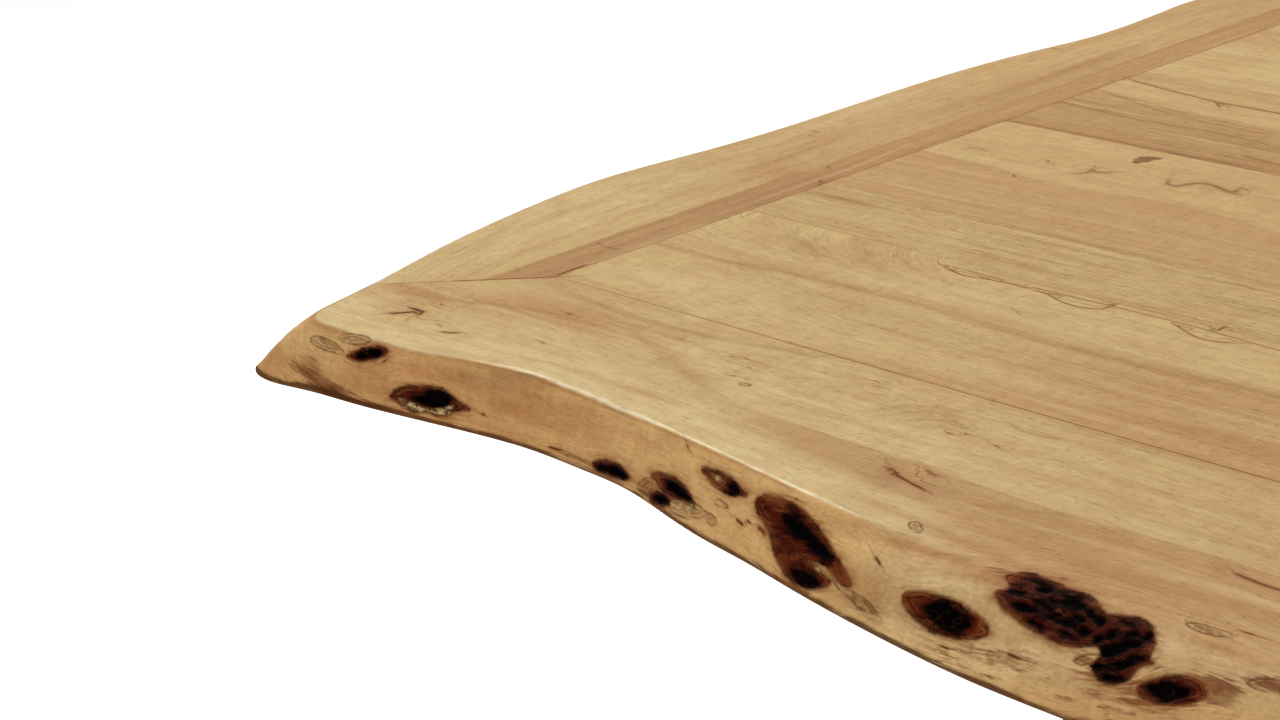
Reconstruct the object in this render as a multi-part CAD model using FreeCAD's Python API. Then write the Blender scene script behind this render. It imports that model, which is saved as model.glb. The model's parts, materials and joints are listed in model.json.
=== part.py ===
import FreeCAD, Part
import math
import os

# Live-edge dining table: a framed wooden top (front, rear and two end boards with natural
# edges, mitred at the corners, round a field of six planks) on two welded steel box legs
# with screw levelling feet.
# Millimetres. +X runs along the length of the table, +Y to its rear, +Z up.
# The origin is on the floor under the middle of the table.

V = FreeCAD.Vector

# ------------------------------------------------------------------ driving dimensions
TOP_Z = 760.0            # height of the table top
TOP_T = 34.0             # thickness of the wood
TOP_LOW = TOP_Z - TOP_T  # underside of the wood
LOWER_ARRIS = 4.0        # height of the small lower round of the natural edge
LOWER_OUT = 2.0          # how far the widest line stands out beyond the underside's outline

FIELD_X0 = -938.0        # left end of the plank field (inner line of the left end board)
FIELD_Y0 = -355.0        # front line of the plank field (inner line of the front board)
FIELD_L = 1880.0         # length of the field
FIELD_W = 750.0          # width of the field
PLANK_SEAMS = [0.0, 151.0, 219.0, 389.0, 539.0, 690.0, 750.0]   # from the front line

JOINT_Z0, JOINT_Z1 = TOP_LOW + 12.0, TOP_LOW + 22.0   # tongues and splines, 10 thick
TONGUE_HALF = 15.0       # a tongue reaches this far into each side
TONGUE_END = 20.0        # solid wood left at each end of a tongue's groove
SPLINE_IN, SPLINE_OUT = 17.0, 110.0   # mitre spline, along the mitre from the inner corner
SPLINE_HALF = 15.0

DOWEL_D, DOWEL_HOLE_D, DOWEL_L, DOWEL_HOLE_L = 10.0, 10.1, 50.0, 52.0
DOWEL_X = [-800.0, -400.0, 0.0, 400.0, 800.0]
DOWEL_STAGGER = 60.0

BATTEN_X = 250.0
BATTEN_W, BATTEN_T, BATTEN_HALF_L = 50.0, 22.0, 340.0
BATTEN_SCREW_Y = [-279.5, -170.0, -51.0, 109.0, 259.5]
BATTEN_SLOT_R, BATTEN_SLOT_L = 2.75, 14.0
SCREW_R, SCREW_HOLE_R, SCREW_L, SCREW_HEAD_R, SCREW_HEAD_H = 2.45, 2.5, 35.0, 4.5, 3.0
SCREW_WASHER_R, SCREW_WASHER_T = 7.5, 1.2

LEG_X = 580.0            # centre of each box leg
TUBE_W, TUBE_D, TUBE_T, TUBE_ROUND = 80.0, 40.0, 3.0, 5.0
LEG_HALF = 340.0         # half depth of a box leg
LEG_TOP = 718.0
LEG_BOTTOM = 22.0
PLATE_W, PLATE_L, PLATE_T, PLATE_R = 140.0, 620.0, 8.0, 10.0
BOLT_DX = 54.0
BOLT_Y = [-250.0, 0.0, 250.0]
PLATE_SLOT_R, PLATE_SLOT_L = 4.5, 20.0
INSERT_R, INSERT_HOLE_R, INSERT_BORE_R, INSERT_L = 6.0, 6.05, 4.0, 18.0
BOLT_R, BOLT_L, BOLT_HEAD_R, BOLT_HEAD_H, BOLT_HEX = 3.9, 25.0, 7.0, 4.4, 5.0
BOLT_WASHER_R, BOLT_WASHER_T = 12.0, 2.0

FOOT_Y = 290.0
BUSH_R, BUSH_L, BUSH_BORE_R = 11.0, 15.0, 5.0
JAM_AF, JAM_T = 17.0, 5.0
STUD_R, STUD_TOP, STUD_SPIGOT_R = 4.9, 56.0, 3.95
STUD_AF = 14.0
PAD_R, PAD_TOP_R, PAD_BORE_R = 25.0, 8.5, 4.0
SOLE_R, SOLE_T = 24.0, 2.0

os.makedirs("parts", exist_ok=True)


def save(name, shape):
    bad = [s for s in shape.Solids if not s.isValid()]
    if bad or not shape.Solids:
        raise RuntimeError("bad solid in " + name)
    shape.exportStep("parts/" + name + ".step")
    print("%-32s solids %2d  volume %.1f cm3" % (name, len(shape.Solids), shape.Volume / 1000.0))


def box(x0, x1, y0, y1, z0, z1):
    return Part.makeBox(x1 - x0, y1 - y0, z1 - z0, V(x0, y0, z0))


def cyl(r, x, y, z0, z1):
    return Part.makeCylinder(r, z1 - z0, V(x, y, z0), V(0, 0, 1))


def prism(points, z0, z1):
    wire = Part.makePolygon([V(x, y, z0) for x, y in points] + [V(points[0][0], points[0][1], z0)])
    return Part.Face(wire).extrude(V(0, 0, z1 - z0))


def slot_y(r, length, x, y, z0, z1):
    h = length / 2.0 - r
    s = box(x - r, x + r, y - h, y + h, z0, z1)
    return s.fuse([cyl(r, x, y - h, z0, z1), cyl(r, x, y + h, z0, z1)]).removeSplitter()


def hexagon(af, x, y, z0, z1, turn=0.0):
    r = af / math.sqrt(3.0)
    pts = [(x + r * math.cos(turn + math.pi / 3.0 * i), y + r * math.sin(turn + math.pi / 3.0 * i)) for i in range(6)]
    return prism(pts, z0, z1)


# ------------------------------------------------------------------ natural-edge outline
# Offsets in mm from the four straight lines of the plank field. Each station holds: place
# along the edge, offset of the top arris, offset of the underside's outline, fullness of the
# edge's profile between them (0 = nearly straight bevel, 1 = round roll-over), and how far
# the lower point is shifted along the edge.
FRONT = [
    (-34, 126.3, 138.4, .2, -14), (-8, 126.0, 134.3, .15, -5), (20, 123.2, 130.2, .15, -2), (48, 118.2, 125.4, .12, 0),
    (76, 113.0, 121.4, .12, 0), (105, 109.3, 119.2, .12, 0), (138, 110.6, 120.7, .12, 0), (172, 114.6, 124.0, .15, 0),
    (205, 121.2, 133.0, .15, 0), (238, 127.0, 142.2, .18, 0), (270, 132.4, 148.6, .2, 0), (303, 137.6, 156.4, .25, 0),
    (338, 140.8, 163.8, .35, 0), (375, 140.6, 170.2, .5, 0), (415, 137.0, 175.0, .65, 0), (460, 131.5, 176.7, .75, 0),
    (520, 127.0, 178.0, .8, 0), (585, 127.0, 175.5, .75, 0), (650, 131.0, 170.0, .6, 0), (720, 137.0, 164.0, .4, 0),
    (795, 140.5, 160.0, .3, 0), (865, 138.5, 155.5, .25, 0), (930, 131.5, 148.0, .2, 0), (1000, 122.5, 138.5, .2, 0),
    (1075, 115.5, 133.5, .25, 0), (1150, 113.0, 136.0, .4, 0), (1230, 114.5, 142.5, .6, 0), (1310, 120.5, 149.0, .65, 0),
    (1385, 127.0, 150.5, .5, 0), (1455, 129.0, 147.5, .3, 0), (1525, 126.0, 142.0, .2, 0), (1600, 121.5, 137.5, .2, 0),
    (1670, 121.0, 138.5, .25, 0), (1735, 125.0, 143.5, .3, 0), (1795, 128.0, 146.5, .3, 2), (1852, 126.5, 143.5, .3, 6),
    (1902, 120.5, 139.0, .35, 13)]
RIGHT = [
    (-55, 68.0, 86.0, .35), (-2, 81.0, 97.0, .3), (56, 92.0, 108.0, .3), (114, 98.6, 116.0, .35), (172, 98.0, 118.5, .5),
    (232, 92.5, 116.0, .6), (292, 89.5, 109.0, .45), (350, 92.5, 108.0, .25), (410, 100.5, 114.5, .2), (470, 105.7, 120.4, .2),
    (530, 104.0, 120.0, .25), (590, 96.0, 112.5, .25), (650, 88.0, 104.0, .2), (708, 84.3, 100.0, .2), (760, 82.5, 98.5, .25),
    (805, 77.5, 95.0, .35)]
REAR = [
    (1905, 114.0, 132.0, .4, 6), (1858, 119.5, 135.5, .3, 2), (1796, 122.5, 138.0, .25, 0), (1724, 119.5, 135.5, .25, 0),
    (1648, 111.5, 129.0, .3, 0), (1572, 104.5, 125.0, .45, 0), (1498, 101.5, 126.0, .6, 0), (1424, 103.5, 129.0, .65, 0),
    (1348, 109.0, 131.5, .55, 0), (1270, 116.5, 134.0, .35, 0), (1192, 121.5, 136.0, .25, 0), (1118, 119.5, 133.5, .2, 0),
    (1040, 112.0, 126.0, .2, 0), (962, 106.5, 120.5, .2, 0), (884, 105.5, 120.5, .25, 0), (806, 109.0, 125.5, .3, 0),
    (730, 112.5, 129.5, .3, 0), (652, 112.0, 128.0, .25, 0), (574, 107.5, 122.5, .2, 0), (498, 100.5, 116.0, .2, 0),
    (424, 96.5, 115.5, .4, 0), (352, 98.5, 120.5, .55, 0), (282, 105.5, 128.0, .5, 0), (212, 114.5, 133.0, .3, 0),
    (140, 120.0, 135.5, .25, 0), (66, 119.5, 134.0, .25, 0), (8, 114.5, 129.5, .3, -2), (-30, 109.5, 124.5, .4, -8)]
LEFT = [
    (785, 84.0, 102.0, .35), (740, 91.0, 106.0, .3), (695, 88.8, 103.0, .3), (650, 85.6, 100.0, .3), (612, 85.0, 99.0, .3),
    (575, 88.8, 103.0, .3), (535, 95.0, 109.0, .3), (485, 99.8, 113.5, .3), (435, 101.8, 115.0, .3), (380, 101.6, 114.5, .3),
    (325, 100.9, 114.0, .3), (275, 101.4, 114.5, .3), (225, 104.8, 118.0, .3), (185, 109.2, 122.0, .3), (149, 111.6, 125.0, .3),
    (115, 109.8, 123.5, .3), (75, 104.4, 118.5, .3), (35, 97.2, 111.5, .3), (-3, 88.6, 103.5, .3), (-35, 79.0, 96.5, .35),
    (-62, 71.0, 91.8, .35)]
# corners: arris x, y, underside x, y, fullness
FRONT_RIGHT = [(1924, -117.0, 1946, -135.0, .55), (1936, -104.0, 1963, -118.0, .6), (1943, -84.0, 1971, -92.0, .5)]
BACK_RIGHT = [(1951, 834.8, 1973, 844.8, .5), (1943, 851.8, 1964, 866.8, .6), (1929, 862.8, 1947, 879.8, .55)]
BACK_LEFT = [(-52, 854.8, -68, 867.8, .55), (-64, 841.8, -84, 851.8, .6), (-73, 820.8, -94, 826.8, .5)]
FRONT_LEFT = [(-64.8, -87, -88.8, -93, .3), (-60.5, -104.5, -91.0, -118.5, .2), (-56.0, -117.5, -90.0, -135.3, .1),
              (-48.5, -124.6, -73.0, -141.6, .15)]

stations = []
for x, a, b, k, d in FRONT:
    stations.append((x, -a, x + d, -b, k))
stations += FRONT_RIGHT
for y, a, b, k in RIGHT:
    stations.append((FIELD_L + a, y, FIELD_L + b, y, k))
stations += BACK_RIGHT
for x, a, b, k, d in REAR:
    stations.append((x, FIELD_W + a, x + d, FIELD_W + b, k))
stations += BACK_LEFT
for y, a, b, k in LEFT:
    stations.append((-a, y, -b, y, k))
stations += FRONT_LEFT

mids = [((s[0] + s[2]) / 2.0, (s[1] + s[3]) / 2.0) for s in stations]
knots = [0.0]
for i in range(len(mids)):
    p, q = mids[i], mids[(i + 1) % len(mids)]
    knots.append(knots[-1] + math.hypot(q[0] - p[0], q[1] - p[1]) ** 0.8)


def fullness(s, k):
    return (1.0 - k) * s ** 0.85 + k * math.sqrt(max(0.0, 1.0 - (1.0 - s) ** 2))


def ring(s):
    """closed outline of the natural edge: s from 0 at the top arris to 1 at the widest line; None = underside"""
    pts = []
    for ax, ay, bx, by, k in stations:
        if s is None:
            pts.append(V(FIELD_X0 + bx, FIELD_Y0 + by, TOP_LOW))
            continue
        n = math.hypot(bx - ax, by - ay)
        ox, oy = bx + (bx - ax) / n * LOWER_OUT, by + (by - ay) / n * LOWER_OUT
        f = fullness(s, k)
        z = TOP_Z - s * (TOP_T - LOWER_ARRIS)
        pts.append(V(FIELD_X0 + ax + (ox - ax) * f, FIELD_Y0 + ay + (oy - ay) * f, z))
    c = Part.BSplineCurve()
    c.interpolate(Points=pts, PeriodicFlag=True, Parameters=knots)
    return c.toShape()


rings = [ring(s) for s in (0.0, 0.08, 0.25, 0.55, 1.0)] + [ring(None)]
skin = [Part.makeRuledSurface(a, b) for a, b in zip(rings[:-1], rings[1:])]
caps = [Part.Face(Part.Wire([rings[0]])), Part.Face(Part.Wire([rings[-1]]))]
faces = []
for s in skin:
    faces += s.Faces
shell = Part.makeShell(faces + caps)
shell.sewShape()
blank = Part.makeSolid(Part.Shell(shell.Faces) if not isinstance(shell, Part.Shell) else shell)
if blank.Volume < 0:
    blank.reverse()
if not blank.isValid():
    blank.fix(0.01, 0.01, 0.01)
bb = blank.BoundBox
print("top blank %.2f..%.2f  %.2f..%.2f  %.1f..%.1f  valid %s" % (bb.XMin, bb.XMax, bb.YMin, bb.YMax, bb.ZMin, bb.ZMax, blank.isValid()))

# ------------------------------------------------------------------ boards of the top
X0, X1 = FIELD_X0, FIELD_X0 + FIELD_L
Y0, Y1 = FIELD_Y0, FIELD_Y0 + FIELD_W
REACH = 260.0
zlo, zhi = TOP_LOW - 20.0, TOP_Z + 20.0
regions = {
    "front_live_edge_board": [(X0, Y0), (X0 - REACH, Y0 - REACH), (X1 + REACH, Y0 - REACH), (X1, Y0)],
    "rear_live_edge_board": [(X0, Y1), (X1, Y1), (X1 + REACH, Y1 + REACH), (X0 - REACH, Y1 + REACH)],
    "left_end_live_edge_board": [(X0, Y0), (X0, Y1), (X0 - REACH, Y1 + REACH), (X0 - REACH, Y0 - REACH)],
    "right_end_live_edge_board": [(X1, Y0), (X1 + REACH, Y0 - REACH), (X1 + REACH, Y1 + REACH), (X1, Y1)],
}
boards = {}
for name, poly in regions.items():
    boards[name] = blank.common(prism(poly, zlo, zhi))
for i in range(6):
    boards["field_plank_%d" % (i + 1)] = box(X0, X1, Y0 + PLANK_SEAMS[i], Y0 + PLANK_SEAMS[i + 1], TOP_LOW, TOP_Z)

# loose tongues that hold the field to the two end boards
tongues = {}
for name, xc in (("left_end_tongue", X0), ("right_end_tongue", X1)):
    tongues[name] = box(xc - TONGUE_HALF, xc + TONGUE_HALF, Y0 + TONGUE_END, Y1 - TONGUE_END, JOINT_Z0, JOINT_Z1)

# loose splines across the four mitres
splines = []
for cx, cy, sx, sy in ((X0, Y0, -1, -1), (X1, Y0, 1, -1), (X0, Y1, -1, 1), (X1, Y1, 1, 1)):
    u = (sx / math.sqrt(2.0), sy / math.sqrt(2.0))
    n = (-u[1], u[0])
    pts = []
    for d, w in ((SPLINE_IN, -SPLINE_HALF), (SPLINE_OUT, -SPLINE_HALF), (SPLINE_OUT, SPLINE_HALF), (SPLINE_IN, SPLINE_HALF)):
        pts.append((cx + u[0] * d + n[0] * w, cy + u[1] * d + n[1] * w))
    splines.append(prism(pts, JOINT_Z0, JOINT_Z1))

# dowels across the seven long seams
dowels, dowel_holes = [], []
zc = (JOINT_Z0 + JOINT_Z1) / 2.0
for i, s in enumerate(PLANK_SEAMS):
    for x in DOWEL_X:
        xx = x + (DOWEL_STAGGER if i % 2 else 0.0)
        d = Part.makeCylinder(DOWEL_D / 2.0, DOWEL_L, V(xx, Y0 + s - DOWEL_L / 2.0, zc), V(0, 1, 0))
        dowels.append(d.makeChamfer(1.0, [e for e in d.Edges if isinstance(e.Curve, Part.Circle)]))
        dowel_holes.append(Part.makeCylinder(DOWEL_HOLE_D / 2.0, DOWEL_HOLE_L, V(xx, Y0 + s - DOWEL_HOLE_L / 2.0, zc), V(0, 1, 0)))

# threaded inserts for the legs, and pilot holes for the batten screws
insert_spots = [(sx * LEG_X + dx, y) for sx in (-1, 1) for dx in (-BOLT_DX, BOLT_DX) for y in BOLT_Y]
insert_holes = [cyl(INSERT_HOLE_R, x, y, TOP_LOW - 5.0, TOP_LOW + INSERT_L + 1.0) for x, y in insert_spots]
screw_spots = [(sx * BATTEN_X, y) for sx in (-1, 1) for y in BATTEN_SCREW_Y]
screw_head_z = TOP_LOW - BATTEN_T - SCREW_WASHER_T
screw_top = screw_head_z + SCREW_L
pilot_holes = [cyl(SCREW_HOLE_R, x, y, TOP_LOW - 5.0, screw_top + 1.0) for x, y in screw_spots]


def near(shape, tools):
    b = shape.BoundBox
    return [t for t in tools if b.intersect(t.BoundBox)]


for name, shape in boards.items():
    tools = near(shape, list(tongues.values()) + splines + dowel_holes + insert_holes + pilot_holes)
    if tools:
        shape = shape.cut(tools)
    boards[name] = shape
    save(name, shape)
for name, shape in tongues.items():
    save(name, shape)
save("mitre_splines", Part.makeCompound(splines))
save("edge_dowels", Part.makeCompound(dowels))

# ------------------------------------------------------------------ battens
for name, sx in (("left_batten", -1), ("right_batten", 1)):
    x = sx * BATTEN_X
    b = box(x - BATTEN_W / 2, x + BATTEN_W / 2, -BATTEN_HALF_L, BATTEN_HALF_L, TOP_LOW - BATTEN_T, TOP_LOW)
    low = [e for e in b.Edges if abs(e.BoundBox.ZMin - (TOP_LOW - BATTEN_T)) < 1e-6 and abs(e.BoundBox.ZMax - (TOP_LOW - BATTEN_T)) < 1e-6]
    b = b.makeChamfer(4.0, low)
    b = b.cut([slot_y(BATTEN_SLOT_R, BATTEN_SLOT_L, x, y, TOP_LOW - BATTEN_T - 1, TOP_LOW + 1) for y in BATTEN_SCREW_Y])
    save(name, b)
screws, screw_washers = [], []
for x, y in screw_spots:
    head = Part.makeCone(SCREW_HEAD_R * 0.6, SCREW_HEAD_R, SCREW_HEAD_H, V(x, y, screw_head_z - SCREW_HEAD_H), V(0, 0, 1))
    head = head.cut(hexagon(3.0, x, y, screw_head_z - SCREW_HEAD_H - 1, screw_head_z - SCREW_HEAD_H + 1.6))
    shank = cyl(SCREW_R, x, y, screw_head_z - 0.5, screw_top - 4.0)
    tip = Part.makeCone(SCREW_R, 0.5, 4.0, V(x, y, screw_top - 4.0), V(0, 0, 1))
    screws.append(head.fuse([shank, tip]).removeSplitter())
    w = cyl(SCREW_WASHER_R, x, y, screw_head_z, screw_head_z + SCREW_WASHER_T)
    screw_washers.append(w.cut(cyl(2.7, x, y, screw_head_z - 1, screw_head_z + SCREW_WASHER_T + 1)))
save("batten_screws", Part.makeCompound(screws))
save("batten_washers", Part.makeCompound(screw_washers))

# ------------------------------------------------------------------ inserts, leg bolts, washers
inserts, bolts, bolt_washers = [], [], []
plate_low = TOP_LOW - PLATE_T
for x, y in insert_spots:
    i = cyl(INSERT_R, x, y, TOP_LOW, TOP_LOW + INSERT_L).cut(cyl(INSERT_BORE_R, x, y, TOP_LOW - 1, TOP_LOW + INSERT_L + 1))
    inserts.append(i)
    w = cyl(BOLT_WASHER_R, x, y, plate_low - BOLT_WASHER_T, plate_low)
    bolt_washers.append(w.cut(cyl(4.2, x, y, plate_low - BOLT_WASHER_T - 1, plate_low + 1)))
    hz = plate_low - BOLT_WASHER_T
    head = Part.makeCone(BOLT_HEAD_R * 0.62, BOLT_HEAD_R, BOLT_HEAD_H - 1.2, V(x, y, hz - BOLT_HEAD_H), V(0, 0, 1))
    head = head.fuse(cyl(BOLT_HEAD_R, x, y, hz - 1.2, hz)).cut(hexagon(BOLT_HEX, x, y, hz - BOLT_HEAD_H - 1, hz - 1.6))
    bolts.append(head.fuse(cyl(BOLT_R, x, y, hz - 0.5, hz + BOLT_L)).removeSplitter())
save("threaded_inserts", Part.makeCompound(inserts))
save("leg_bolts", Part.makeCompound(bolts))
save("leg_bolt_washers", Part.makeCompound(bolt_washers))

# ------------------------------------------------------------------ steel box legs


def tube_y(xc, y0, y1, z0, z1, width, wall):
    """rectangular tube along Y with rounded long edges"""
    o = box(xc - width / 2, xc + width / 2, y0, y1, z0, z1)
    o = o.makeFillet(TUBE_ROUND, [e for e in o.Edges if abs(e.BoundBox.YLength - (y1 - y0)) < 1e-6])
    i = box(xc - width / 2 + wall, xc + width / 2 - wall, y0 - 1, y1 + 1, z0 + wall, z1 - wall)
    i = i.makeFillet(TUBE_ROUND - wall, [e for e in i.Edges if abs(e.BoundBox.YLength - (y1 - y0 + 2)) < 1e-6])
    return o.cut(i)


def tube_z(xc, y0, y1, z0, z1, width, wall):
    """rectangular tube along Z with rounded long edges"""
    o = box(xc - width / 2, xc + width / 2, y0, y1, z0, z1)
    o = o.makeFillet(TUBE_ROUND, [e for e in o.Edges if abs(e.BoundBox.ZLength - (z1 - z0)) < 1e-6])
    i = box(xc - width / 2 + wall, xc + width / 2 - wall, y0 + wall, y1 - wall, z0 - 1, z1 + 1)
    i = i.makeFillet(TUBE_ROUND - wall, [e for e in i.Edges if abs(e.BoundBox.ZLength - (z1 - z0 + 2)) < 1e-6])
    return o.cut(i)


def yz_prism(points, x0, x1):
    wire = Part.makePolygon([V(x0, y, z) for y, z in points] + [V(x0, points[0][0], points[0][1])])
    return Part.Face(wire).extrude(V(x1 - x0, 0, 0))


for side, sx in (("left", -1), ("right", 1)):
    xc = sx * LEG_X
    xa, xb = xc - TUBE_W, xc + TUBE_W
    H, T, B, D = LEG_HALF, LEG_TOP, LEG_BOTTOM, TUBE_D
    top_region = yz_prism([(-H, T), (-H + D, T - D), (H - D, T - D), (H, T)], xa, xb)
    low_region = yz_prism([(-H, B), (H, B), (H - D, B + D), (-H + D, B + D)], xa, xb)
    front_region = yz_prism([(-H, B), (-H + D, B + D), (-H + D, T - D), (-H, T)], xa, xb)
    rear_region = yz_prism([(H, B), (H, T), (H - D, T - D), (H - D, B + D)], xa, xb)
    save(side + "_leg_top_rail", tube_y(xc, -H, H, T - D, T, TUBE_W, TUBE_T).common(top_region))
    floor = tube_y(xc, -H, H, B, B + D, TUBE_W, TUBE_T).common(low_region)
    floor = floor.cut([cyl(5.3, xc, s * FOOT_Y, B - 1, B + TUBE_T + 1) for s in (-1, 1)])
    save(side + "_leg_floor_rail", floor)
    save(side + "_leg_front_post", tube_z(xc, -H, -H + D, B, T, TUBE_W, TUBE_T).common(front_region))
    save(side + "_leg_rear_post", tube_z(xc, H - D, H, B, T, TUBE_W, TUBE_T).common(rear_region))
    plate = box(xc - PLATE_W / 2, xc + PLATE_W / 2, -PLATE_L / 2, PLATE_L / 2, plate_low, TOP_LOW)
    plate = plate.makeFillet(PLATE_R, [e for e in plate.Edges if abs(e.BoundBox.ZLength - PLATE_T) < 1e-6])
    plate = plate.cut([slot_y(PLATE_SLOT_R, PLATE_SLOT_L, xc + dx, y, plate_low - 1, TOP_LOW + 1)
                       for dx in (-BOLT_DX, BOLT_DX) for y in BOLT_Y])
    save(side + "_leg_mounting_plate", plate)

# ------------------------------------------------------------------ levelling feet
foot_spots = [("front_left", -LEG_X, -FOOT_Y), ("front_right", LEG_X, -FOOT_Y),
              ("rear_left", -LEG_X, FOOT_Y), ("rear_right", LEG_X, FOOT_Y)]
bushes, jams = [], []
bush_z = LEG_BOTTOM + TUBE_T
for name, x, y in foot_spots:
    bushes.append(cyl(BUSH_R, x, y, bush_z, bush_z + BUSH_L).cut(cyl(BUSH_BORE_R, x, y, bush_z - 1, bush_z + BUSH_L + 1)))
    jams.append(hexagon(JAM_AF, x, y, LEG_BOTTOM - JAM_T, LEG_BOTTOM).common(cyl(JAM_AF / 2 + 0.85, x, y, LEG_BOTTOM - JAM_T, LEG_BOTTOM))
                .cut(cyl(BUSH_BORE_R, x, y, LEG_BOTTOM - JAM_T - 1, LEG_BOTTOM + 1)))
    save(name + "_foot_sole", cyl(SOLE_R, x, y, 0.0, SOLE_T))
    rim = cyl(PAD_R, x, y, SOLE_T, 5.0)
    rim = rim.makeChamfer(0.6, [e for e in rim.Edges if isinstance(e.Curve, Part.Circle) and e.BoundBox.ZMin > 4.9])
    cone = Part.makeCone(PAD_R - 2.5, PAD_TOP_R, 5.0, V(x, y, 5.0), V(0, 0, 1))
    pad = rim.fuse(cone).removeSplitter().cut(cyl(PAD_BORE_R, x, y, 4.0, 11.0))
    save(name + "_foot_pad", pad)
    stud = cyl(STUD_R, x, y, 13.5, STUD_TOP - 1.0).fuse(Part.makeCone(STUD_R, STUD_R - 1.0, 1.0, V(x, y, STUD_TOP - 1.0), V(0, 0, 1)))
    stud = stud.fuse([hexagon(STUD_AF, x, y, 10.1, 14.0), cyl(STUD_SPIGOT_R, x, y, 4.2, 10.6)]).removeSplitter()
    save(name + "_foot_stud", stud)
save("leveller_bushes", Part.makeCompound(bushes))
save("jam_nuts", Part.makeCompound(jams))
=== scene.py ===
import bpy
import json
import math
import numpy as np
from mathutils import Matrix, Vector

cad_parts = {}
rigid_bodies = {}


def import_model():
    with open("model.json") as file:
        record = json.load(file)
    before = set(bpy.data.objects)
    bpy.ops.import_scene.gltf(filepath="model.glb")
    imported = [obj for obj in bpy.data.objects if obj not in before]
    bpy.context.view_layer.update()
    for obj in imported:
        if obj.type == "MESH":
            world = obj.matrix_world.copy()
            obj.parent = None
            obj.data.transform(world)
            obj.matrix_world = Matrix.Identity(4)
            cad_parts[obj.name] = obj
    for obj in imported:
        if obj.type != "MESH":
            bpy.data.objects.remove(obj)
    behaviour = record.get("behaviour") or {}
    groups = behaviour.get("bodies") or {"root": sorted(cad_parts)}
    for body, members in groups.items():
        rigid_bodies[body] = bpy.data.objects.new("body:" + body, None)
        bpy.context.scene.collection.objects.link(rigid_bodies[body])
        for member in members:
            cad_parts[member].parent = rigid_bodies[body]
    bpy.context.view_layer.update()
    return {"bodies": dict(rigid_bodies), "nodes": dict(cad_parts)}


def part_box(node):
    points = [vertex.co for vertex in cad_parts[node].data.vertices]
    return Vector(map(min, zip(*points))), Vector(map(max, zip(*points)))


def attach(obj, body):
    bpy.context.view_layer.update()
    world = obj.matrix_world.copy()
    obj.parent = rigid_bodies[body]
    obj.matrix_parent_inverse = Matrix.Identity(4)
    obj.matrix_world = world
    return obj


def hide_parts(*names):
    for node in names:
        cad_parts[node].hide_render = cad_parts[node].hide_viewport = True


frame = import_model()
bodies, nodes = frame["bodies"], frame["nodes"]
scene = bpy.context.scene

# =====================================================================================
# 1. Outline of the natural edge: the same numbers as the CAD source, in mm, measured from
#    the front left corner of the plank field (x to the right, y to the rear).
# =====================================================================================
TOP_Z, TOP_T = 760.0, 34.0
TOP_LOW = TOP_Z - TOP_T
LOWER_OUT, LOWER_ARRIS = 2.0, 4.0
FX0, FY0 = -938.0, -355.0
FIELD_L, FIELD_W = 1880.0, 750.0
PLANK_SEAMS = [0.0, 151.0, 219.0, 389.0, 539.0, 690.0, 750.0]

FRONT = [
    (-34, 126.3, 138.4, .2, -14), (-8, 126.0, 134.3, .15, -5), (20, 123.2, 130.2, .15, -2), (48, 118.2, 125.4, .12, 0),
    (76, 113.0, 121.4, .12, 0), (105, 109.3, 119.2, .12, 0), (138, 110.6, 120.7, .12, 0), (172, 114.6, 124.0, .15, 0),
    (205, 121.2, 133.0, .15, 0), (238, 127.0, 142.2, .18, 0), (270, 132.4, 148.6, .2, 0), (303, 137.6, 156.4, .25, 0),
    (338, 140.8, 163.8, .35, 0), (375, 140.6, 170.2, .5, 0), (415, 137.0, 175.0, .65, 0), (460, 131.5, 176.7, .75, 0),
    (520, 127.0, 178.0, .8, 0), (585, 127.0, 175.5, .75, 0), (650, 131.0, 170.0, .6, 0), (720, 137.0, 164.0, .4, 0),
    (795, 140.5, 160.0, .3, 0), (865, 138.5, 155.5, .25, 0), (930, 131.5, 148.0, .2, 0), (1000, 122.5, 138.5, .2, 0),
    (1075, 115.5, 133.5, .25, 0), (1150, 113.0, 136.0, .4, 0), (1230, 114.5, 142.5, .6, 0), (1310, 120.5, 149.0, .65, 0),
    (1385, 127.0, 150.5, .5, 0), (1455, 129.0, 147.5, .3, 0), (1525, 126.0, 142.0, .2, 0), (1600, 121.5, 137.5, .2, 0),
    (1670, 121.0, 138.5, .25, 0), (1735, 125.0, 143.5, .3, 0), (1795, 128.0, 146.5, .3, 2), (1852, 126.5, 143.5, .3, 6),
    (1902, 120.5, 139.0, .35, 13)]
RIGHT = [
    (-55, 68.0, 86.0, .35), (-2, 81.0, 97.0, .3), (56, 92.0, 108.0, .3), (114, 98.6, 116.0, .35), (172, 98.0, 118.5, .5),
    (232, 92.5, 116.0, .6), (292, 89.5, 109.0, .45), (350, 92.5, 108.0, .25), (410, 100.5, 114.5, .2), (470, 105.7, 120.4, .2),
    (530, 104.0, 120.0, .25), (590, 96.0, 112.5, .25), (650, 88.0, 104.0, .2), (708, 84.3, 100.0, .2), (760, 82.5, 98.5, .25),
    (805, 77.5, 95.0, .35)]
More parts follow.
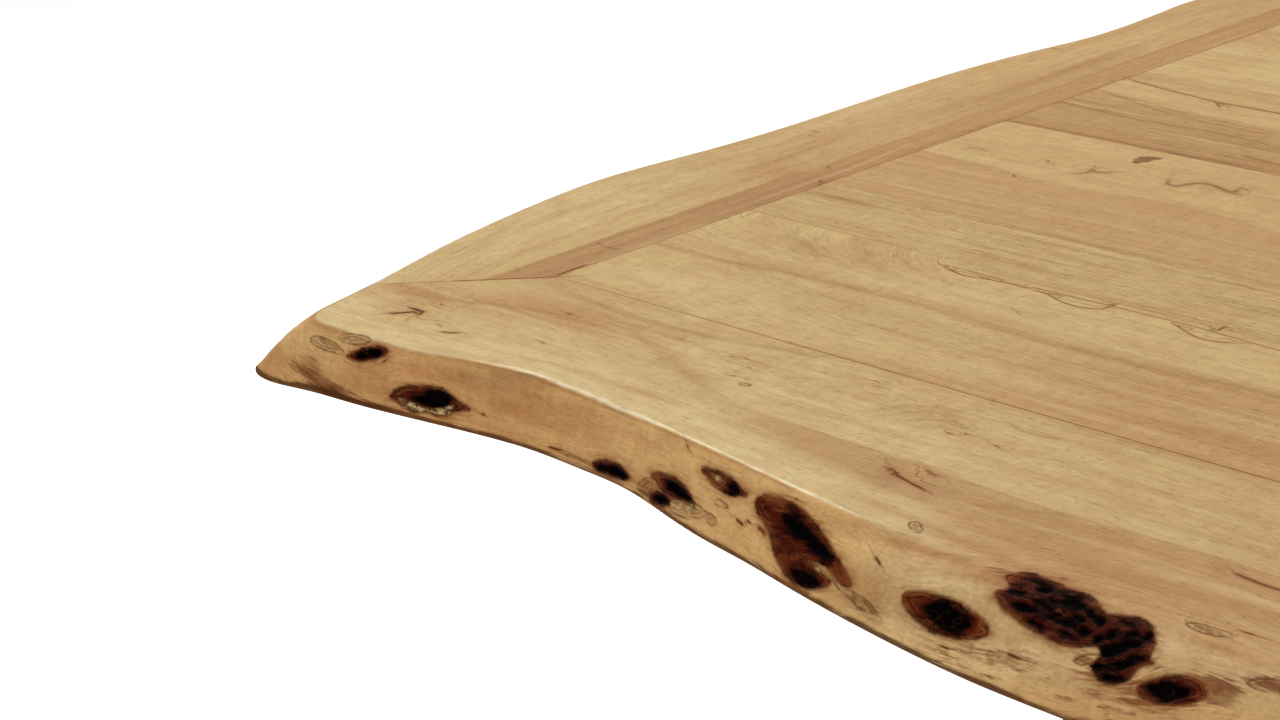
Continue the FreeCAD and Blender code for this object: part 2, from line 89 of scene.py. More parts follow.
REAR = [
    (1905, 114.0, 132.0, .4, 6), (1858, 119.5, 135.5, .3, 2), (1796, 122.5, 138.0, .25, 0), (1724, 119.5, 135.5, .25, 0),
    (1648, 111.5, 129.0, .3, 0), (1572, 104.5, 125.0, .45, 0), (1498, 101.5, 126.0, .6, 0), (1424, 103.5, 129.0, .65, 0),
    (1348, 109.0, 131.5, .55, 0), (1270, 116.5, 134.0, .35, 0), (1192, 121.5, 136.0, .25, 0), (1118, 119.5, 133.5, .2, 0),
    (1040, 112.0, 126.0, .2, 0), (962, 106.5, 120.5, .2, 0), (884, 105.5, 120.5, .25, 0), (806, 109.0, 125.5, .3, 0),
    (730, 112.5, 129.5, .3, 0), (652, 112.0, 128.0, .25, 0), (574, 107.5, 122.5, .2, 0), (498, 100.5, 116.0, .2, 0),
    (424, 96.5, 115.5, .4, 0), (352, 98.5, 120.5, .55, 0), (282, 105.5, 128.0, .5, 0), (212, 114.5, 133.0, .3, 0),
    (140, 120.0, 135.5, .25, 0), (66, 119.5, 134.0, .25, 0), (8, 114.5, 129.5, .3, -2), (-30, 109.5, 124.5, .4, -8)]
LEFT = [
    (785, 84.0, 102.0, .35), (740, 91.0, 106.0, .3), (695, 88.8, 103.0, .3), (650, 85.6, 100.0, .3), (612, 85.0, 99.0, .3),
    (575, 88.8, 103.0, .3), (535, 95.0, 109.0, .3), (485, 99.8, 113.5, .3), (435, 101.8, 115.0, .3), (380, 101.6, 114.5, .3),
    (325, 100.9, 114.0, .3), (275, 101.4, 114.5, .3), (225, 104.8, 118.0, .3), (185, 109.2, 122.0, .3), (149, 111.6, 125.0, .3),
    (115, 109.8, 123.5, .3), (75, 104.4, 118.5, .3), (35, 97.2, 111.5, .3), (-3, 88.6, 103.5, .3), (-35, 79.0, 96.5, .35),
    (-62, 71.0, 91.8, .35)]
FRONT_RIGHT = [(1924, -117.0, 1946, -135.0, .55), (1936, -104.0, 1963, -118.0, .6), (1943, -84.0, 1971, -92.0, .5)]
BACK_RIGHT = [(1951, 834.8, 1973, 844.8, .5), (1943, 851.8, 1964, 866.8, .6), (1929, 862.8, 1947, 879.8, .55)]
BACK_LEFT = [(-52, 854.8, -68, 867.8, .55), (-64, 841.8, -84, 851.8, .6), (-73, 820.8, -94, 826.8, .5)]
FRONT_LEFT = [(-64.8, -87, -88.8, -93, .3), (-60.5, -104.5, -91.0, -118.5, .2), (-56.0, -117.5, -90.0, -135.3, .1),
              (-48.5, -124.6, -73.0, -141.6, .15)]

ST = []
for x, a, b, k, d in FRONT:
    ST.append((x, -a, x + d, -b, k))
ST += FRONT_RIGHT
for y, a, b, k in RIGHT:
    ST.append((FIELD_L + a, y, FIELD_L + b, y, k))
ST += BACK_RIGHT
for x, a, b, k, d in REAR:
    ST.append((x, FIELD_W + a, x + d, FIELD_W + b, k))
ST += BACK_LEFT
for y, a, b, k in LEFT:
    ST.append((-a, y, -b, y, k))
ST += FRONT_LEFT
ST = np.array(ST, float)
NST = len(ST)
_mid = (ST[:, :2] + ST[:, 2:4]) / 2.0
KN = np.concatenate([[0.0], np.cumsum(np.linalg.norm(np.roll(_mid, -1, 0) - _mid, axis=1) ** 0.8)])
PERIOD = KN[-1]


def second_derivatives(t, y):
    n = len(y)
    h = np.diff(t)
    m, r = np.zeros((n, n)), np.zeros_like(y)
    for i in range(n):
        hm, hi = h[i - 1], h[i]
        m[i, (i - 1) % n] += hm
        m[i, i] += 2.0 * (hm + hi)
        m[i, (i + 1) % n] += hi
        r[i] = 6.0 * ((y[(i + 1) % n] - y[i]) / hi - (y[i] - y[i - 1]) / hm)
    return np.linalg.solve(m, r)


ST_M = second_derivatives(KN, ST)


def outline(u):
    """top arris x, y, underside x, y and fullness at the edge parameter u (any shape)"""
    u = np.mod(np.asarray(u, float), PERIOD)
    i = np.clip(np.searchsorted(KN, u, side="right") - 1, 0, NST - 1)
    h = (KN[i + 1] - KN[i])[..., None]
    a = (KN[i + 1] - u)[..., None] / h
    b = 1.0 - a
    j = (i + 1) % NST
    return a * ST[i] + b * ST[j] + ((a ** 3 - a) * ST_M[i] + (b ** 3 - b) * ST_M[j]) * h * h / 6.0


def fullness(s, k):
    return (1.0 - k) * s ** 0.85 + k * np.sqrt(np.clip(1.0 - (1.0 - s) ** 2, 0.0, None))


def edge_xy(u, s):
    """point of the natural edge in plan: s 0 at the arris, 1 at the widest line"""
    q = outline(u)
    a, b, k = q[..., 0:2], q[..., 2:4], np.clip(q[..., 4], 0.0, 1.0)
    n = b - a
    n = n / np.linalg.norm(n, axis=-1)[..., None]
    f = fullness(np.asarray(s, float), k)[..., None]
    return a + (b + n * LOWER_OUT - a) * f


# where each ring of the edge crosses the four mitre planes
S_TAB = np.concatenate([np.linspace(0, 0.2, 12) ** 1.0, np.linspace(0.24, 1.0, 20)])
nF, nR, nB, nL = len(FRONT), len(RIGHT), len(REAR), len(LEFT)
CORNERS = {
    "FL": ((0.0, 0.0), (-1, -1), KN[NST - 7] - PERIOD, KN[1]),
    "FR": ((FIELD_L, 0.0), (1, -1), KN[nF - 3], KN[nF + 6]),
    "BR": ((FIELD_L, FIELD_W), (1, 1), KN[nF + nR], KN[nF + 3 + nR + 3 + 3]),
    "BL": ((0.0, FIELD_W), (-1, 1), KN[nF + nR + nB + 3], KN[nF + nR + nB + 3 + 3 + 3 + 2]),
}


def crossing(corner, s):
    (cx, cy), (dx, dy), lo, hi = CORNERS[corner]
    u = np.linspace(lo, hi, 3000)
    p = outline(u)[..., 2:4] if s is None else edge_xy(u, np.full(u.shape, s))
    f = (p[:, 0] - cx) * dy - (p[:, 1] - cy) * dx
    i = np.where(f[:-1] * f[1:] <= 0)[0]
    good = [k for k in i if (p[k, 0] - cx) * dx > 0 and (p[k, 1] - cy) * dy > 0]
    k = good[0]
    return u[k] + (u[k + 1] - u[k]) * f[k] / (f[k] - f[k + 1])


CROSS = {c: np.array([crossing(c, s) for s in S_TAB]) for c in CORNERS}
CROSS_LOW = {c: crossing(c, None) for c in CORNERS}

# =====================================================================================
# 2. Numeric helpers: seeded lattice noise, smooth polylines, signed distances
# =====================================================================================


def lattice(ix, iy, seed):
    h = (ix.astype(np.int64) * 374761393 + iy.astype(np.int64) * 668265263 + seed * 974634777) & 0xFFFFFFFF
    h = ((h ^ (h >> 13)) * 1274126177) & 0xFFFFFFFF
    h = ((h ^ (h >> 15)) * 2246822519) & 0xFFFFFFFF
    return ((h ^ (h >> 16)) & 0xFFFFF) / float(0xFFFFF) * 2.0 - 1.0


def wave(x, y, seed=1):
    """smooth noise, -1..1"""
    x, y = np.asarray(x, float), np.asarray(y, float)
    ix, iy = np.floor(x), np.floor(y)
    fx, fy = x - ix, y - iy
    fx = fx * fx * fx * (fx * (fx * 6 - 15) + 10)
    fy = fy * fy * fy * (fy * (fy * 6 - 15) + 10)
    a, b = lattice(ix, iy, seed), lattice(ix + 1, iy, seed)
    c, d = lattice(ix, iy + 1, seed), lattice(ix + 1, iy + 1, seed)
    return (a * (1 - fx) + b * fx) * (1 - fy) + (c * (1 - fx) + d * fx) * fy


def waves(x, y, seed=1, octaves=3):
    t, amp, tot = 0.0, 1.0, 0.0
    for o in range(octaves):
        t = t + amp * wave(x * 2 ** o, y * 2 ** o, seed + 17 * o)
        tot += amp
        amp *= 0.5
    return t / tot


def ease(v, a, b):
    t = np.clip((np.asarray(v, float) - a) / (b - a), 0, 1)
    return t * t * (3 - 2 * t)


def soft(d, w):
    return np.exp(-(d / w) ** 2)


def line_at(pts, x):
    """height of a smooth line through given points, at x"""
    p = np.array(pts, float)
    m = np.gradient(p[:, 1], p[:, 0])
    x = np.clip(x, p[0, 0], p[-1, 0])
    i = np.clip(np.searchsorted(p[:, 0], x, side="right") - 1, 0, len(p) - 2)
    h = p[i + 1, 0] - p[i, 0]
    t = (x - p[i, 0]) / h
    return ((2 * t ** 3 - 3 * t ** 2 + 1) * p[i, 1] + (t ** 3 - 2 * t ** 2 + t) * h * m[i]
            + (-2 * t ** 3 + 3 * t ** 2) * p[i + 1, 1] + (t ** 3 - t ** 2) * h * m[i + 1])


def rounded(pts, n=5):
    """closed outline through given points, rounded"""
    p = np.array(pts, float)
    a, b, c, d = np.roll(p, 1, 0), p, np.roll(p, -1, 0), np.roll(p, -2, 0)
    out = []
    for t in np.arange(n) / n:
        out.append(0.5 * (2 * b + (c - a) * t + (2 * a - 5 * b + 4 * c - d) * t ** 2 + (3 * b - a - 3 * c + d) * t ** 3))
    return np.stack(out, 1).reshape(-1, 2)


def inside_distance(poly, x, y):
    """signed distance to a closed outline, negative inside"""
    q = np.stack([x, y], -1)
    best = np.full(x.shape, 1e9)
    odd = np.zeros(x.shape, bool)
    for i in range(len(poly)):
        a, b = poly[i], poly[(i + 1) % len(poly)]
        e = b - a
        w = q - a
        t = np.clip((w @ e) / max(e @ e, 1e-9), 0, 1)
        dd = w - t[..., None] * e
        best = np.minimum(best, np.sqrt((dd ** 2).sum(-1)))
        if a[1] != b[1]:
            hit = ((a[1] > y) != (b[1] > y)) & (x < (b[0] - a[0]) * (y - a[1]) / (b[1] - a[1]) + a[0])
            odd ^= hit
    return np.where(odd, -best, best)


def blob(cx, cy, a, b, tilt, seed, n=18, rough=0.12):
    """closed outline of an oval with an uneven rim"""
    t = np.linspace(0, 2 * np.pi, n, endpoint=False)
    r = 1 + rough * waves(np.cos(t) * 1.4 + seed * 3.1, np.sin(t) * 1.4 + seed * 1.7, seed, 2) * 1.6
    c, s = math.cos(math.radians(tilt)), math.sin(math.radians(tilt))
    px, py = a * np.cos(t) * r, b * np.sin(t) * r
    return np.stack([cx + px * c - py * s, cy + px * s + py * c], -1)


FAR = 30.0


def union(fields, x, y, polys, key, reach=16.0):
    """keeps the smallest signed distance to a set of outlines"""
    f = fields[key]
    for p in polys:
        lo, hi = p.min(0) - reach, p.max(0) + reach
        m = (x > lo[0]) & (x < hi[0]) & (y > lo[1]) & (y < hi[1])
        if m.any():
            d = inside_distance(p, x[m], y[m])
            f[m] = np.minimum(f[m], d)
    fields[key] = f


def nearest_outline(fields, x, y, polys, key, reach=10.0):
    """signed distance to whichever outline is nearest"""
    f = fields[key]
    for p in polys:
        lo, hi = p.min(0) - reach, p.max(0) + reach
        m = (x > lo[0]) & (x < hi[0]) & (y > lo[1]) & (y < hi[1])
        if m.any():
            d = inside_distance(p, x[m], y[m])
            g = f[m]
            f[m] = np.where(np.abs(d) < np.abs(g), d, g)
    fields[key] = f


def mark_lines(fields, x, y, lines):
    """thin marks: signed distance across the nearest one, and its strength"""
    d0, m0 = fields["mark"], fields["mark_on"]
    for pts, width, strength in lines:
        p = np.array(pts, float)
        lo, hi = p.min(0) - 9, p.max(0) + 9
        m = (x > lo[0]) & (x < hi[0]) & (y > lo[1]) & (y < hi[1])
        if not m.any():
            continue
        q = np.stack([x[m], y[m]], -1)
        seg = np.linalg.norm(np.diff(p, axis=0), axis=1)
        cum = np.concatenate([[0], np.cumsum(seg)])
        best = np.full(len(q), 1e9)
        sign = np.ones(len(q))
        along = np.zeros(len(q))
        for i in range(len(p) - 1):
            e = p[i + 1] - p[i]
            w = q - p[i]
            t = np.clip((w @ e) / max(e @ e, 1e-9), 0, 1)
            dd = w - t[:, None] * e
            dist = np.sqrt((dd ** 2).sum(-1))
            s = np.sign(e[0] * w[:, 1] - e[1] * w[:, 0])
            near = dist < best
            best = np.where(near, dist, best)
            sign = np.where(near, s, sign)
            along = np.where(near, cum[i] + t * seg[i], along)
        total = cum[-1]
        taper = np.minimum(ease(along, -0.12 * total, 0.12 * total), ease(total - along, -0.12 * total, 0.12 * total))
        score = strength * taper * np.exp(-(best / (width * 4.0)) ** 2)
        old = m0[m] * np.exp(-(np.abs(d0[m]) / 4.0) ** 2)
        win = score > old
        dm, mm = d0[m], m0[m]
        dm[win] = (sign * best / width)[win]
        mm[win] = (strength * taper)[win]
        d0[m], m0[m] = dm, mm


# =====================================================================================
# 3. What the wood shows: knots, heartwood, stripes, marks (mm)
# =====================================================================================
# On the front edge: x along the edge, v down the slope from the arris (negative = on the top).
# kinds: rim = outline of a dark knot, core = its black heart, pale = dry light wood,
# ring = thin dark outline only
FRONT_RIMS = [
    [(-18, 13.5), (-14, 10), (-8, 6.5), (-2, 4), (4, 3), (9, 4), (8, 6.5), (3, 9), (-2, 11.5), (-9, 13.5), (-14, 14.2)],
    [(14, 25.5), (18, 22), (23, 19.3), (30, 18), (38, 16.6), (46, 16.6), (52, 18.5), (57, 21), (64, 23.5), (58, 25.5),
     (53, 27.5), (50, 29.5), (44, 30.5), (38, 29.5), (30, 31.4), (24, 30.2), (19, 28.5), (15, 27.5)],
    [(149, 30.5), (154, 28), (160, 26.5), (168, 26), (174, 27.5), (177.5, 29.6), (172, 31.8), (164, 33), (152, 33)],
    [(193.5, 22), (199, 20), (207, 18.6), (215, 18.7), (222, 20.6), (227, 23.6), (229.5, 26), (222, 26.4), (213, 27),
     (206, 27.6), (201, 26), (197, 24), (193.5, 23.4)],
    [(194, 31.5), (197.5, 29), (203, 27.6), (209, 27.8), (211.5, 29.8), (207, 33), (198, 34), (194, 33)],
    [(228, 9.6), (234, 8), (242, 7.5), (250, 8), (256, 9.8), (261.5, 11.5), (256, 13.5), (250, 14.8), (242, 14), (234, 12)],
    [(268, 12), (272, 8.5), (280, 7), (286, 6.3), (293, 6.5), (300, 8), (308, 10.5), (316, 14), (323, 18), (330, 22),
     (336, 26), (339, 29), (332, 29.2), (325, 26.5), (318, 25), (310, 26), (303, 27.5), (298, 30), (291, 30.5), (286, 27),
     (283, 23), (277, 19), (271, 16.5)],
    [(290, 29), (297, 26), (306, 24.8), (314, 26.0), (322, 28.4), (327, 31), (321, 34.6), (312, 37), (303, 36.5), (296, 34)],
    [(367.5, 27), (371, 24.6), (379, 23.6), (390, 24), (399, 26), (407, 29), (413, 32.4), (414.5, 35.4), (410, 37.8), (401, 38.8),
     (390, 38.2), (380, 35.6), (372, 31.5)],
    [(408, 7), (411, 3.4), (416, 2), (421, 3.5), (427, 4), (433, 6), (440, 6.4), (446, 9), (451, 12.5), (455, 15), (458, 14.6),
     (462, 14), (468, 13), (473, 15), (477, 18), (480, 22), (482, 27), (483, 31), (485.5, 32.6), (482, 35), (480.5, 38), (480, 41.5),
     (476, 44.6), (470, 44.8), (465.5, 42.5), (463.5, 39), (464, 35.5), (463.5, 33), (460, 31.5), (455, 33), (449, 34), (442, 33),
     (434, 31), (427, 28.5), (420, 26), (414, 23), (410, 20), (408, 17), (411.5, 14), (410, 11), (407, 9)],
    [(485, 43), (488.5, 39), (493, 36), (499, 34.4), (505, 34.6), (509, 37), (511, 40.4), (507.5, 44), (501, 47), (493, 47.8), (487, 46.4)],
]
FRONT_CORES = [
    [(-12, 10.7), (-7, 8), (-2, 5.2), (2, 4.2), (4.5, 6), (2, 8), (-3, 10.5), (-9, 11.8)],
    [(28, 24), (34, 21.3), (38, 19), (44, 18), (50, 19.6), (51, 22), (47, 25), (40, 26.5), (33, 26), (29, 25.5)],
    [(152, 30.8), (158, 28.7), (165, 27.6), (172, 28.6), (175, 30), (168, 31.4), (156, 32)],
    [(205, 23), (209, 20.6), (214, 20.2), (220, 21.8), (226, 24), (221, 25.5), (213, 25.5), (207, 24.6)],
    [(196, 31.5), (200, 29.3), (205, 28.6), (208, 30), (203, 32), (197, 33)],
    [(248, 10.6), (252, 9.6), (256.5, 11.5), (254, 13.2), (249, 12.6)],
    [(287, 13), (291, 10.8), (297, 12), (303, 13.4), (310, 15.8), (318, 18), (324, 20.5), (318, 22.7), (311, 21.7),
     (307, 19.7), (300, 18.6), (293, 16.7), (288, 15.2)],
    [(302, 33), (306, 30.6), (312, 30), (318, 31.5), (320, 33.6), (315, 35.6), (308, 35.6)],
    [(381, 28), (387, 25.8), (395, 27.2), (402, 30), (405, 33.2), (401, 35.8), (393, 36.6), (386, 34.2), (382, 31)],
    [(488.5, 41.5), (491.5, 39.6), (493, 38), (499, 38.6), (504.5, 39.6), (503, 43.4), (500, 44.8), (498, 46.4), (491.5, 45.2)],
]
FRONT_CORE_OVALS = [  # centre x, v, half length, half width, tilt
    (424.5, 9.5, 3.4, 3.0, 0), (441, 14, 5.2, 3.4, 12), (424, 21.5, 5.4, 1.9, 6), (452, 25.5, 3.0, 3.6, 0),
    (438, 23, 4.2, 2.0, 10), (467, 31, 5.4, 3.2, -20), (474, 36.4, 5.4, 2.2, -32), (473, 42, 4.4, 1.9, -8),
    (471, 21.5, 3.2, 1.6, -10), (462, 24, 3.0, 2.6, 20), (450, 17, 5.0, 1.6, 30), (433, 19.6, 6.4, 1.0, 12), (436, 11, 4.6, .9, 15), (432, 14.5, 3.0, 1.4, 25), (447, 29.5, 4.0, 1.2, 12),
    (446, 20.5, 4.4, 1.8, 20), (455, 19.5, 3.4, 2.2, 40), (429, 17.6, 4.2, 1.2, 15), (417, 14, 2.6, 1.6, 0), (431, 27, 4.6, 1.2, 14),
    (466, 17, 4.6, 1.3, 6), (476, 21, 2.4, 2.6, 0), (459, 28.5, 2.6, 1.6, -20), (472, 27, 4.4, 1.7, -12), (478, 32, 3.0, 1.8, 10),
    (466, 39, 4.2, 1.4, -10), (444, 24.5, 5.0, 1.5, 15), (419, 5.6, 3.4, 1.4, 0), (440, 9.4, 3.6, 1.2, 25)]
FRONT_PALE = [
    [(-43.5, 13), (-40, 12), (-35, 11.8), (-29, 11.6), (-25, 12), (-23.5, 12.6), (-26, 13.6), (-31, 14.6), (-37, 15), (-42, 14.6)],
    [(-24.5, 4.6), (-20, 2.6), (-14, 1.3), (-8, .6), (-6.5, 2.1), (-10.5, 4.0), (-17, 5.4), (-22.5, 5.8)],
    [(20, 26.4), (27, 27), (35, 27.6), (43, 27), (49, 25.4), (53, 23.6), (54, 26), (51, 28.2), (45, 29.8), (38, 29), (30, 30.9), (23, 29.2)],
    [(211, 29.3), (218, 27), (226, 25.8), (233, 26.3), (236, 27.6), (230, 30), (222, 32), (214, 31.6)],
    [(234, 10.2), (240, 9.9), (245, 10.9), (246, 11.7), (240, 11.3)],
    [(314, 26.8), (319, 26.6), (326, 28.8), (321, 28.4), (316, 27.6)],
    [(240.5, 28), (243, 27.2), (246.5, 28.4), (244, 29.2)],
    [(486.5, 8), (491, 7.2), (498, 7.2), (502.5, 8.6), (499.5, 10), (492, 10.2)],
]
FRONT_RINGS = [
    [(-46, 13), (-42.5, 10.2), (-36, 9.4), (-29, 9.4), (-24.5, 10.4), (-21.5, 11.6), (-24, 14), (-31, 15.4), (-38, 16), (-44, 15.4)],
    [(-26.5, 4.6), (-22, 1.8), (-14, -0.2), (-8, -0.9), (-4.5, 1.5), (-10.5, 4.6), (-17, 6.3), (-24, 6.7)],
    [(209.5, 29.3), (217, 26.2), (226, 24.8), (234, 25.4), (240, 27), (237, 28.8), (231, 31), (222, 33), (213, 32.6)],
    [(238.5, 27.4), (242, 26.2), (248, 28.6), (244, 30.2), (240, 29.4)],
    [(241.5, 19.8), (245, 18.7), (250, 19.6), (251.5, 20.6), (246, 21.2), (242.5, 20.8)],
    [(484.5, 7.4), (490, 6.2), (498, 6.2), (504.5, 8), (502, 10.4), (495, 11.2), (488, 10.4)],
    [(522, 29), (526, 25.5), (532, 23.5), (538, 23), (539.5, 27), (533, 29.5), (527, 30.5)],
    [(346.5, -9.5), (349, -11.8), (353, -9.5), (356.5, -5), (354, -3.6), (350, -5.5)],
    [(324, 27.4), (331, 29), (339, 31), (347, 32), (355, 35), (361.5, 39), (356, 39.6), (349, 37.4), (341, 34.2), (332, 31.6)],
    [(342, 33.2), (347, 33), (353, 36), (356, 38.4), (350, 37.4), (344, 35.2)],
    [(455, 38.6), (459, 35.4), (465, 34.4), (463, 37.5), (459, 40)],
    [(183, 31.5), (186, 27.5), (191, 24.5), (196, 23.6), (199.5, 26), (198, 29), (194, 31), (189, 33)],
    [(186, 31), (189, 28), (193, 26.4), (195.5, 28), (192, 31)],
]
FRONT_SPECKS = [(8, 9.5, 1.6, .8, -35), (72.5, 24.4, 1.7, .8, 8), (214, 3.2, .9, 1.3, 30), (262, 23.8, 3.4, 1.2, 10),
                (267.5, 21.8, 1.9, .8, 8), (277, 22.4, 4.0, 1.6, 14), (494, 8.8, 3.4, 1.4, 5), (230, 27.4, 2.0, .8, -10),
                (427, 0.2, .8, 2.6, -8), (-38, 28.5, .9, 1.1, 0), (348, 16, 3.0, .8, 30), (430, 42, 4.0, .9, 12),
                (397, 43, 3.0, .7, 8), (122, 30.8, 5.0, .8, -4), (291, 4.2, 1.3, .6, 0), (508, 3.2, 2.4, .7, 0)]

# on the top, plan coordinates x, y: marks as (points, half width, strength)
TOP_MARKS = [
    ([(302, -92), (307, -93), (312, -96.5), (321, -99), (331, -101.5)], 0.95, 0.85),
    ([(303, -91), (308, -95), (314, -98)], 2.2, 0.75),
    ([(317, -83), (321, -85.5), (325, -86)], 1.5, 0.55),
    ([(475, -89), (488, -91), (499, -91)], 1.3, 0.75),
    ([(470, -88.4), (482, -90.4), (500, -92)], 3.2, 0.30),
    ([(313, -18), (322, -22), (331, -21), (341, -19)], 0.9, 0.22),
    ([(-16.5, -83.5), (-18.5, -86), (-21.5, -90), (-26, -95)], 1.5, 0.9),
    ([(-24, -82.3), (-19, -82), (-12.5, -82.6)], 1.3, 0.95),
    ([(-14.5, -83), (-12, -87)], 1.3, 0.8),
    ([(16, -97), (21, -95), (25, -92)], 1.2, 0.75),
    ([(-8, -91), (-3, -89), (4, -86)], 0.9, 0.22),
    ([(5, -90), (11, -92)], 1.1, 0.35),
    ([(253, -46), (262, -30), (276, -22), (286, -20)], 1.8, 0.13),
    ([(262, -46), (270, -33), (283, -26), (294, -26)], 1.6, 0.13),
    ([(272, -46), (280, -37), (292, -32), (302, -35)], 1.6, 0.16),
    ([(284, -46), (291, -40), (299, -40), (306, -43)], 1.6, 0.14),
    ([(160, -26), (167, -31), (175, -30), (181, -35)], 1.8, 0.12),
    ([(150, -36), (160, -38), (172, -37), (184, -41)], 1.8, 0.12),
    ([(168, -44), (176, -49), (184, -51)], 1.8, 0.12),
    ([(356, -100), (366, -94), (380, -90), (392, -84)], 2.0, 0.12),
    # plank 1
    ([(146, 141), (156, 137), (167, 134), (182, 137), (197, 138.5), (219, 137), (230, 132), (240, 130), (249, 131.5), (254, 135), (256, 142)], 0.6, 0.70),
    ([(150, 142), (200, 140.5), (256, 141.5), (300, 141.5), (350, 138), (400, 140)], 0.6, 0.55),
    ([(292, 139.5), (303, 134), (312, 129.5), (319, 128.5), (327, 131), (334, 134)], 0.6, 0.60),
    ([(316, 150), (316, 141.5)], 0.7, 0.75),
    ([(255.5, 146), (254.5, 138)], 0.7, 0.7),
    # planks 3 to 5
    ([(102, 320), (108, 327), (106, 333), (113, 331), (120, 338)], 1.5, 0.45),
    ([(154.1, 342.2), (157.4, 335.8), (164.0, 334.6), (167.1, 342.2), (170.0, 347.9), (176.7, 350.0), (183.4, 348.0), (191.0, 344.4), (196.0, 342.8), (195.6, 348.7), (194.7, 354.2)], 1.8, 0.50),
    ([(169.2, 341.0), (178.5, 343.1), (188.0, 342.9)], 3.4, 0.16),
    ([(196.6, 353.2), (199.5, 352.9), (201.1, 349.2)], 1.3, 0.30),
    ([(18, 326), (26, 331), (34, 328)], 1.0, 0.25),
    ([(-1, 523), (10, 518.5), (35, 513), (79, 505.5), (125, 505), (170, 500)], 1.2, 0.55),
    ([(79, 505), (84, 501), (88, 496)], 1.0, 0.6),
    ([(0, 488), (30, 478), (60, 467), (100, 460.5), (150, 460)], 1.6, 0.22),
    ([(10, 484), (50, 476), (90, 470), (150, 466)], 1.5, 0.14),
    ([(0, 447), (60, 441), (120, 444), (190, 436)], 1.4, 0.25),
    ([(0, 392.5), (60, 392.5), (120, 392), (190, 394)], 1.6, 0.40),
    ([(160, 411), (185, 407), (205, 408)], 1.0, 0.4),
    # left end board
    ([(-2.2, 1), (-2.6, 12), (-2.4, 24)], 0.9, 0.8),
    ([(-1.2, 352), (-1.6, 364), (-1.2, 376)], 0.9, 0.35),
    ([(-7, 222), (-5, 219), (-3, 217)], 1.4, 0.4),
    ([(-22, 246), (-19, 243)], 0.9, 0.5),
    ([(-26, 55), (-17, 52.5), (-6, 54)], 0.7, 0.35),
]
TOP_SPECKS = [(48, -38, 1.7, 1.3, 0), (69, -76, 1.1, .8, 0), (119, -29, 1.0, .8, 0), (237, -19, 1.0, .7, 0), (324, -43, 1.4, .8, -20),
              (224, 105, 1.1, .7, -30), (75, 333, 1.6, .9, -30), (78, 296, 1.6, .8, -30), (85, 500, 1.2, .7, 0), (174, -51, 1.3, 1.1, 0),
              (172, -38, 1.3, 1.0, 0), (156, -32, 1.0, .8, 0), (163, -30, .9, .7, 0), (298, -44, 1.3, 1.0, 0), (305, -40, 1.1, .8, 0),
              (231, -14, .9, .6, 0), (-15, -69, 1.3, .9, 0), (-78, 300, 1.4, .9, 0), (-60, 410, 1.3, .8, 0), (-86, 560, 1.2, .9, 0)]
TOP_PATCHES = [[(117.8, 358.7), (113.1, 369.7), (115.4, 374.7), (124.3, 379.2), (123.7, 369.7), (120.9, 363.4)]]
SEAM_MARKS = [
    ([(0, 0), (60, 0), (200, 0), (600, 0), (1880, 0)], 0.38, 0.58),
    ([(0, 151), (300, 151), (900, 151), (1880, 151)], 0.4, 0.14),
    ([(0, 219), (300, 219), (900, 219), (1880, 219)], 0.5, 0.16),
    ([(0, 389), (300, 389), (900, 389), (1880, 389)], 0.7, 0.38),
    ([(0, 539), (300, 539), (900, 539), (1880, 539)], 0.4, 0.16),
    ([(0, 690), (300, 690), (900, 690), (1880, 690)], 0.4, 0.25),
    ([(0, 750), (300, 750), (900, 750), (1880, 750)], 0.4, 0.35),
    ([(0, 0), (0, 200), (0, 600), (0, 750)], 0.5, 0.30),
    ([(1880, 0), (1880, 400), (1880, 750)], 0.5, 0.35),
    ([(3, 3), (0, 0), (-30, -30), (-40, -40)], 0.6, 0.85),
    ([(-30, -30), (-48, -48), (-66, -66)], 0.5, 0.42),
    ([(1880, 0), (1910, -30), (1965, -85)], 0.6, 0.6),
    ([(0, 750), (-30, 780), (-85, 835)], 0.6, 0.6),
    ([(1880, 750), (1910, 780), (1965, 835)], 0.6, 0.6),
]
TOP_RINGS = [blob(186, -56, 3.2, 2.0, 0, 5)]



def as_marks(specks, strength=0.9):
    """small dark specks as short thick marks"""
    out = []
    for cx, cy, a, b, tilt in specks:
        c, s = math.cos(math.radians(tilt)), math.sin(math.radians(tilt))
        h = max(a - b * 0.6, 0.15)
        out.append(([(cx - h * c, cy - h * s), (cx, cy), (cx + h * c, cy + h * s)], b * 0.8, strength))
    return out


